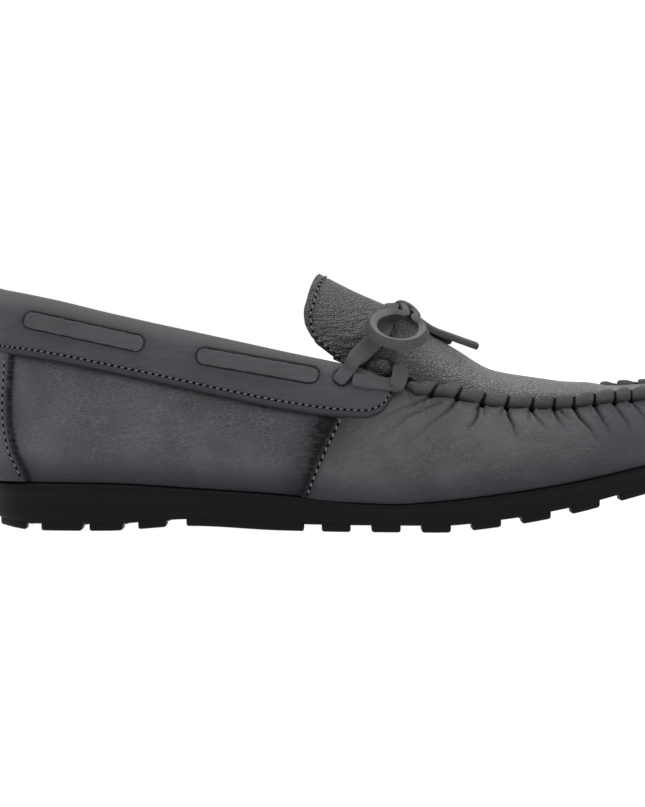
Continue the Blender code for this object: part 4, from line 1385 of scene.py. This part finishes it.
def apron_place(u, v):
    """Tongue and plug with the edges tucked under the gathered seam."""
    v = v - EDGE_CROWD * np.sin(2 * math.pi * v) / (2 * math.pi)
    points = apron_surface(u, v)
    on_plug = smoothstep(TONGUE_PART - 0.02, TONGUE_PART + 0.05, u)
    near_seam = seam_distance(points)
    points[:, 2] -= PLUG_TUCK * on_plug * (1 - smoothstep(0.0, 4.5, near_seam))
    x, z = points[:, 0], points[:, 2]
    start = flap_end(np.abs(np.sin((v - 0.5) * math.pi)))
    from_end = np.where(u < TONGUE_PART, x - start, 50.0)
    relief = -stitch_groove(from_end, STRAP_STITCH)
    creases, shade = crease_relief(points, TONGUE_CREASES)
    aside, above = np.abs(x - PAD_MIDDLE[0]) / PAD_HALF[0], np.abs(z - PAD_MIDDLE[1]) / PAD_HALF[1]
    from_pad = (aside ** 3 + above ** 3) ** (1 / 3)
    pad = 1.7 * (1 - smoothstep(0.72, 1.0, from_pad)) - 0.8 * bell(from_pad - 1.08, 0.14)
    # darker along the tongue's free end; painted shade where the plug tucks under the seam, in the creases
    # and in the groove round the bunched pad
    burnish = strongest(
        0.4 * bell(from_end, 1.0),
        0.7 * on_plug * bell(near_seam, 2.2),
        np.minimum(0.5 * shade, 0.9),
        1.2 * bell(from_pad - 1.08, 0.13),
    )
    # painted shade on the tongue's flanks through the low value, and in its fold troughs through the wrinkle
    # value
    shade = 1 - smoothstep(TONGUE_PART - 0.1, TONGUE_PART + 0.2, u)
    steep = 1 - smoothstep(flap_edge(x) + 8.0, flap_edge(x) + 24.0, z)
    off_pad = smoothstep(0.75, 1.25, from_pad)
    wrinkle = 1.9 * shade * (0.3 + 0.7 * steep) * (0.15 + 0.85 * off_pad)
    values = {"burnish": burnish, "low": shade * (0.72 + 0.28 * off_pad), "wrinkle": wrinkle}
    return points, values, relief + creases + pad


def tongue_crease_lines():
    """Folds in the tongue's flanks behind the bow."""
    lines = []
    grid_u, grid_v = np.meshgrid(np.linspace(0.0, TONGUE_PART, 60), np.linspace(0.02, 0.5, 90))
    spots = apron_surface(grid_u.ravel(), grid_v.ravel())
    for marks, depth, width in TONGUE_FOLDS:
        line = []
        for station, height in marks:
            line.append(spots[np.argmin((spots[:, 0] - station) ** 2 + (spots[:, 2] - height) ** 2)])
        lines.append((line, depth, width))
        flipped = [np.array([p[0], 2 * TONGUE_MID - p[1], p[2]]) for p in line]
        lines.append((flipped, depth, width))
    return lines


# Bunched leather between strand, thong and wrap: station and height of its middle, and its half sizes
PAD_MIDDLE = (157.6, 63.4)
PAD_HALF = (4.9, 3.6)
# Folds in the tongue's flank: stations and heights of the lines, with depth and half width
TONGUE_FOLDS = [
    ([(151.5, 74.5), (146.0, 74.0), (139.0, 74.8)], 0.35, 0.9),
    ([(150.5, 71.0), (145.0, 70.6), (138.0, 72.0)], 0.40, 0.9),
    ([(149.0, 67.6), (144.5, 68.0), (139.5, 69.6)], 0.35, 0.8),
    ([(156.0, 66.0), (152.0, 65.2)], 0.35, 0.8),
    ([(158.5, 62.0), (154.0, 63.0)], 0.35, 0.8),
]
TONGUE_CREASES = tongue_crease_lines()


def lining_place(u, v):
    """Lining of the wall, seen from inside."""
    share = 1.0 - u
    h = 0.01 + 0.975 * v
    under_creases = LINING_DROP * seam_fade(share) * smoothstep(0.35, 0.75, h)
    points = vamp_wall(share, h) - wall_normal(share, h) * (WALL + under_creases)[:, None]
    return points, {"burnish": np.zeros(len(u))}, None


def band_low(share):
    """Height of the band's lower edge round the shoe; at the throat corners it runs up to the collar."""
    t, plan, _ = outline_point(share)
    edge = band_edge(plan[..., 0])
    return edge + (top_height(t) - 0.6 - edge) * smoothstep(161.5, 165.0, plan[..., 0])


def band_face(above_edge):
    """Outer face of the band above the quarter, by the height above its lower edge."""
    rim = rounded_rim(above_edge, 0.8)
    pad = BAND_PAD * smoothstep(4.0, 10.0, above_edge)
    return BAND_BASE + BAND_THICK * rim + pad - stitch_groove(above_edge, BAND_STITCH, 0.45)


def bar_distance(station, height):
    """Distance on the band from the middle line of the nearest lace bar or from the strand's hole."""
    spots = np.stack([station, height], axis=1)
    best = np.full(len(station), 1e9)
    for bar in LACE_BARS:
        line = np.array([[bar.start_station, bar.start_height], [bar.end_station, bar.end_height]])
        reach = (bar.width / 2) / np.linalg.norm(line[1] - line[0]) * (line[1] - line[0])
        line = np.array([line[0] + reach, line[1] - reach])
        best = np.minimum(best, distance_to_line(spots, line)[0])
    hole = np.hypot(station - STRAND_ON_BAND[0][0] - 0.6, height - STRAND_ON_BAND[0][1] - 0.6)
    return np.minimum(best, hole)


BAND_FACE_PART = 0.62    # share of the band's rows on its face
BAND_ROLL_PART = 0.84    # and share up to the end of its roll over the collar


def band_place(u, v):
    """Collar band: up its face, over the collar and down inside."""
    share = (2 * u - 1) * (REAR_SHARE + 0.0035)
    t, plan, _ = outline_point(share)
    station = plan[:, 0]
    low = band_low(share)
    top = top_height(t)
    reach = np.minimum(BAND_ROUND, 0.4 * (top - low))
    comes_in = BAND_LEAN * reach / BAND_ROUND
    first_turn = math.atan(2 * BAND_LEAN / BAND_ROUND)
    roll = (BAND_OUT - comes_in + WALL + 0.2) / (1 + math.cos(first_turn))
    roll = np.minimum(roll, 0.42 * (top - low))
    turn_height = top - roll * (1 - math.sin(first_turn))
    up_face = np.clip(v / BAND_FACE_PART, 0.0, 1.0)
    height = low + (turn_height - low) * up_face ** 1.1
    near_top = np.clip((height - turn_height + reach) / reach, 0.0, 1.0)
    face = band_face(height - low) - comes_in * near_top ** 2
    from_bars = bar_distance(station, height)
    recess = 1 - smoothstep(LACE_WIDTH / 2 - 0.1, LACE_WIDTH / 2 + 0.45, from_bars)
    points = wall(share, wall_share_up(share, height), face - recess)

    turn_share = wall_share_up(share, turn_height)
    normal = wall_normal(share, turn_share)
    base = wall_surface(share, turn_share)
    up = unit(wall_surface(share, turn_share + 0.01) - wall_surface(share, turn_share - 0.01))
    face_top = band_face(turn_height - low) - comes_in
    rolling = np.clip((v - BAND_FACE_PART) / (BAND_ROLL_PART - BAND_FACE_PART), 0.0, 1.0)
    turn = first_turn + (math.pi - first_turn) * rolling
    out = face_top + roll * (np.cos(turn) - math.cos(first_turn))
    climb = roll * (np.sin(turn) - math.sin(first_turn))
    rolled = base + normal * out[:, None] + up * climb[:, None]
    points = np.where((v > BAND_FACE_PART)[:, None], rolled, points)

    down = np.clip((v - BAND_ROLL_PART) / (1 - BAND_ROLL_PART), 0.0, 1.0)
    inner_height = np.maximum(turn_height - roll * math.sin(first_turn) - BAND_FOLD * down, low)
    inner = wall(share, wall_share_up(share, inner_height), face_top - roll * (1 + math.cos(first_turn)))
    points = np.where((v > BAND_ROLL_PART)[:, None], inner, points)

    on_face = (v <= BAND_FACE_PART).astype(float)
    from_bar = np.abs(from_bars - LACE_WIDTH / 2 - 0.25)
    # painted shade in the groove round the lace bars, at the band's lower edge and in the stitch groove;
    # darker below the stitches
    burnish = on_face * strongest(
        1.0 * bell(from_bar, 0.45),
        0.25 * bell(from_bar, 2.5),
        0.95 * bell(height - low, 0.8),
        0.5 * (1 - smoothstep(BAND_STITCH - 0.9, BAND_STITCH + 0.3, height - low)),
        0.45 * bell(height - low - BAND_STITCH, 0.6),
    )
    # painted highlight along the band's top, where it rounds over towards the light
    painted_top_highlight = 0.8 * smoothstep(turn_height - 9.0, turn_height, height) * (1 - rolling)
    return points, {"burnish": burnish, "edge": painted_top_highlight}, None


def build_upper():
    """All leather of the upper."""
    vamp = sheet(1000, 90, vamp_place)
    add_piece("vamp", vamp, VAMP_LEATHER, ["upper"])
    gathers = sheet(1300, 34, gathers_place)
    add_piece("gathered_seam", gathers, VAMP_LEATHER, ["upper"])
    quarters = sheet(320, 60, quarters_place)
    add_piece("quarters", quarters, QUARTER_LEATHER, ["upper"])
    strap = sheet(80, 44, strap_place)
    add_piece("back_strap_leather", strap, QUARTER_LEATHER, ["back_strap"])
    apron = sheet(260, 140, apron_place)
    apron = add_piece("plug_and_tongue", apron, PLUG_LEATHER, ["upper", "tongue"])
    wall_of(apron, PLUG_THICK)
    apron.data.materials.append(CUT_EDGE)
    apron.modifiers[0].material_offset_rim = 1
    lining = sheet(200, 30, lining_place)
    add_piece("wall_lining", lining, LINING_LEATHER, ["upper"])
    band = sheet(420, 62, band_place)
    add_piece("collar_band_leather", band, BAND_LEATHER, ["collar_band"])


build_upper()


def lace_on_wall(station, height, side, out, width, thick, tips):
    """Flat stretch of lace along stations and heights of the wall."""
    share = side_share(station, side)
    up = wall_share_up(share, height)
    path = wall(share, up, out)
    across = np.cross(wall_normal(share, up), np.gradient(path, axis=0))
    ripple = 1 + 0.025 * np.sin(0.8 * station) + 0.02 * np.sin(2.1 * station)
    return flat_lace(path, across, width * ripple, thick, tips)


def build_bars():
    """Stretches of lace that lie in the collar band, and the thong and wrap at the throat corner."""
    steps = np.linspace(0.0, 1.0, 90)
    for side, word in ((-1, "lateral"), (1, "medial")):
        for bar in LACE_BARS + [THONG]:
            station = bar.start_station + (bar.end_station - bar.start_station) * steps
            height = bar.start_height + (bar.end_height - bar.start_height) * steps
            face = band_face(height - band_low(side_share(station, side)))
            if bar is THONG:
                out = BAND_OUT + THONG_LIFT - THONG_DIVE * smoothstep(161.5, 166.0, station)
                bm = lace_on_wall(station, height, side, out, bar.width, LACE_THICK, THONG_TIPS)
            else:
                tips = (bar.width / 2, bar.width / 2)
                out = face - BAR_SINK
                bm = lace_on_wall(station, height, side, out, bar.width - BAR_PLAY, BAR_THICK, tips)
            add_piece(f"{bar.name}_{word}_lace", bm, LACE_LEATHER, [f"{bar.name}_{word}"])
        wrap = WRAP if side < 0 else mirrored(WRAP)
        path = smooth_route(wrap, 0.5)
        across = np.tile([1.0, 0.0, -0.35], (len(path), 1))
        bm = flat_lace(path, across, *WRAP_SIZE, WRAP_TIPS)
        add_piece(f"throat_wrap_{word}", bm, LACE_LEATHER, [f"seam_thong_{word}"])


build_bars()


# Stitching


def add_bead(bm, spot, ahead, normal, size):
    """Small ellipsoid: half length, half width and half height."""
    across = np.cross(normal, ahead)
    columns = np.stack([across * size[1], normal * size[2], ahead * size[0]], axis=1) * MM
    matrix = Matrix.LocRotScale(Vector(in_frame(spot)), None, None) @ Matrix(columns.tolist()).to_4x4()
    bmesh.ops.create_uvsphere(bm, u_segments=8, v_segments=5, radius=1.0, matrix=matrix)


def stitch_row(threads, holes, path, facing, pitch):
    """Stitches along a line on the leather, with a black bead of painted needle-hole shade between each two.
    """
    run = run_along(path)
    count = int(run[-1] / pitch)
    step = run[-1] / count

    def at(rows, place):
        return np.array([np.interp(place, run, rows[:, k]) for k in range(3)])

    for i in range(count):
        for bm, place, size, lift, slant in (
            (threads, (i + 0.5) * step, STITCH_SIZE, STITCH_LIFT, STITCH_SLANT),
            (holes, i * step, HOLE_SIZE, HOLE_LIFT, 0.0),
        ):
            ahead = unit(at(path, place + 0.7) - at(path, place - 0.7))
            normal = unit(at(facing, place))
            normal = unit(normal - ahead * np.dot(normal, ahead))
            ahead = unit(ahead + slant * np.cross(normal, ahead))
            add_bead(bm, at(path, place) + normal * lift, ahead, normal, size)


def add_stitching(name, lines, pitch, thread, node):
    """One piece of thread and one of black beads, the painted shade of the needle holes, for all stitch lines
    of a leather piece.
    """
    threads, holes = bmesh.new(), bmesh.new()
    for path, facing in lines:
        stitch_row(threads, holes, path, facing, pitch)
    add_piece(f"{name}_thread", threads, thread, [node])
    add_piece(f"{name}_needle_holes", holes, PAINTED_HOLE_SHADE, [node])


def build_stitching():
    """Stitch lines of band, back strap, vamp edge and tongue."""
    share = np.linspace(-side_share(162.0, -1), side_share(162.0, -1), 700)
    low = band_low(share)
    up = wall_share_up(share, low + BAND_STITCH)
    band_line = (wall(share, up, band_face(np.array(BAND_STITCH))), wall_normal(share, up))
    add_stitching("band", [band_line], BAND_PITCH, GREY_THREAD, "collar_band")

    strap_lines = []
    seam_lines = []
    for side in (-1, 1):
        height = np.linspace(22.0, 67.0, 80)
        share = -side * (strap_half(height) - STRAP_STITCH) / SHARE_LENGTH
        up = wall_share_up(share, height)
        strap_lines.append((wall(share, up, STRAP_RISE - 0.25), wall_normal(share, up)))
        up = np.linspace(0.03, 0.72, 80)
        share = quarter_seam_share(up, side) - side * EDGE_STITCH / SHARE_LENGTH
        up = up[wall_surface(share, up)[:, 2] < band_low(share)]
        share = share[: len(up)]
        seam_lines.append((wall(share, up, VAMP_LAP - 0.25), wall_normal(share, up)))
    add_stitching("strap", strap_lines, UPPER_PITCH, PALE_THREAD, "back_strap")
    add_stitching("vamp_edge", seam_lines, UPPER_PITCH, PALE_THREAD, "upper")

    v = np.linspace(0.02, 0.98, 300)
    start = flap_end(np.abs(np.sin((v - 0.5) * math.pi)))
    root = plug(np.zeros(len(v)), v)[:, 0]
    near = STRAP_STITCH / (root - start)
    line = tongue(near, v)
    facing = np.cross(tongue(near + 0.02, v) - line, tongue(near, np.minimum(v + 0.002, 1.0)) - line)
    add_stitching("tongue", [(line, unit(facing))], TONGUE_PITCH, PALE_THREAD, "tongue")


build_stitching()


# Sole and footbed


SOLE_MIDDLE_PART = 0.12  # share of the sheet's rows that fills the sole's top, and again its underside
# Growth beyond the feather line, and share of the way from the sole's top (0) to its underside (1)
SOLE_PROFILE = [
    (-3.0, 0.0),
    (0.0, 0.0),
    (0.75, 0.025),
    (1.2, 0.07),
    (1.45, 0.14),
    (1.5, 0.22),
    (1.3, 0.32),
    (1.15, 0.42),
    (1.15, 0.8),
    (0.9, 0.95),
    (0.2, 1.0),
    (-4.0, 1.0),
]


def sole_place(u, v):
    """Sole plate: from the middle of its top over the edge to the middle of its underside."""
    knots = np.linspace(SOLE_MIDDLE_PART, 1 - SOLE_MIDDLE_PART, len(SOLE_PROFILE))
    grow = np.interp(v, knots, [row[0] for row in SOLE_PROFILE])
    drop = np.interp(v, knots, [row[1] for row in SOLE_PROFILE])
    plan = outline_point(u, grow)[1]
    middle = (plan + outline_point(1.0 - u, grow)[1]) / 2
    to_edge = np.clip(np.minimum(v, 1 - v) / SOLE_MIDDLE_PART, 0.0, 1.0)[:, None]
    plan = middle + (plan - middle) * to_edge
    top = feather(plan[:, 0]) - SOLE_GAP
    under = ground(plan[:, 0]) + LUG_HEIGHT
    return np.concatenate([plan, (top + (under - top) * drop)[:, None]], axis=1), {}, None


def sole_edge(station, side):
    """Place across the shoe of the sole's edge on one side."""
    return float(outline_point(side_share(station, side), SOLE_LIP)[1][1])


def lug_sides(station, side, reach):
    """Both sides of a lug at a station: along the lateral (-1) or medial (1) edge, or down the middle (0)."""
    if side == 0:
        middle = (sole_edge(station, -1) + sole_edge(station, 1)) / 2
        return middle - reach, middle + reach
    outer = sole_edge(station, side) - side * LUG_INSET
    return outer - side * reach, outer


def add_lug(bm, start, end, side, reach):
    """Rounded block under the sole between two stations."""
    block = bmesh.new()
    bmesh.ops.create_cube(block, size=1.0)
    inner, outer = lug_sides(start, side, reach)
    size = Vector((end - start, abs(outer - inner), LUG_HEIGHT + LUG_ROOT))
    bmesh.ops.scale(block, vec=size, verts=block.verts)
    bmesh.ops.bevel(
        block,
        geom=block.edges[:],
        offset=LUG_ROUND,
        segments=2,
        profile=0.5,
        affect="EDGES",
        material=-1,
    )
    cuts = max(int((end - start) / LUG_CUT), 1)
    for i in range(1, cuts):
        at = Vector(((i / cuts - 0.5) * size.x, 0.0, 0.0))
        whole = block.verts[:] + block.edges[:] + block.faces[:]
        bmesh.ops.bisect_plane(block, geom=whole, plane_co=at, plane_no=(1, 0, 0))
    for vert in block.verts:
        x = start + (vert.co.x / size.x + 0.5) * (end - start)
        f = vert.co.y / size.y + 0.5
        inner, outer = lug_sides(x, side, reach)
        y = inner + (outer - inner) * f
        z = float(ground(x)) + vert.co.z + size.z / 2
        vert.co = Vector(in_frame([x, y, z]))
    bmesh.ops.recalc_face_normals(block, faces=block.faces[:])
    mesh = bpy.data.meshes.new("lug")
    block.to_mesh(mesh)
    block.free()
    bm.from_mesh(mesh)
    bpy.data.meshes.remove(mesh)


def build_sole():
    """Rubber sole with its lugs."""
    bm = sheet(300, 40, sole_place)
    bmesh.ops.recalc_face_normals(bm, faces=bm.faces[:])
    fore = [FORE_LUG_START + i * FORE_LUG_PITCH for i in range(FORE_LUG_COUNT)]
    for start, end in REAR_LUGS + [(place, place + FORE_LUG_LENGTH) for place in fore]:
        widths = [sole_edge(x, 1) - sole_edge(x, -1) for x in (start, end)]
        reach = min(LUG_REACH, EDGE_LUG_SHARE * min(widths))
        for side in (-1, 1):
            add_lug(bm, start, end, side, reach)
    for start, end in CENTRE_LUGS:
        half_sole = (sole_edge(end, 1) - sole_edge(end, -1)) / 2
        add_lug(bm, start, end, 0, min(CENTRE_LUG_HALF, half_sole - LUG_INSET - LUG_REACH - LUG_CHANNEL))
    add_piece("rubber_outsole", bm, SOLE_RUBBER, ["outsole"], sharp=40)


def insole_place(u, across):
    """Footbed with a slightly dished face and a turned-down edge."""
    inset = -WALL - INSOLE_CLEAR
    lateral = outline_point(u / 2, inset)[1]
    medial = outline_point(1 - u / 2, inset)[1]
    plan = lateral + (medial - lateral) * across[:, None]
    share = np.clip(plan[:, 0] / STATIONS[-1], 0.0, 1.0)
    thick = INSOLE_HEEL + (INSOLE_TOE - INSOLE_HEEL) * share
    dish = 1.2 * np.sin(across * math.pi) ** 2
    edge = np.minimum(across, 1 - across) * np.linalg.norm(medial - lateral, axis=1)
    turn = 1.0 * (1 - smoothstep(0.0, 1.5, edge))
    height = feather(plan[:, 0]) + thick - dish - turn
    # darker towards the footbed's edge
    return np.concatenate([plan, height[:, None]], axis=1), {"burnish": 0.4 * bell(edge, 2.0)}, None


def build_footbed():
    """Footbed as a slab on the sole."""
    bm = sheet(120, 40, insole_place)
    grown = bmesh.ops.extrude_face_region(bm, geom=bm.faces[:])["geom"]
    for vert in [item for item in grown if isinstance(item, bmesh.types.BMVert)]:
        vert.co.z = float(feather(vert.co.x / MM - SHIFT[0])) * MM
    bmesh.ops.recalc_face_normals(bm, faces=bm.faces[:])
    add_piece("leather_footbed", bm, LINING_LEATHER, ["insole"], sharp=60)


build_sole()
build_footbed()
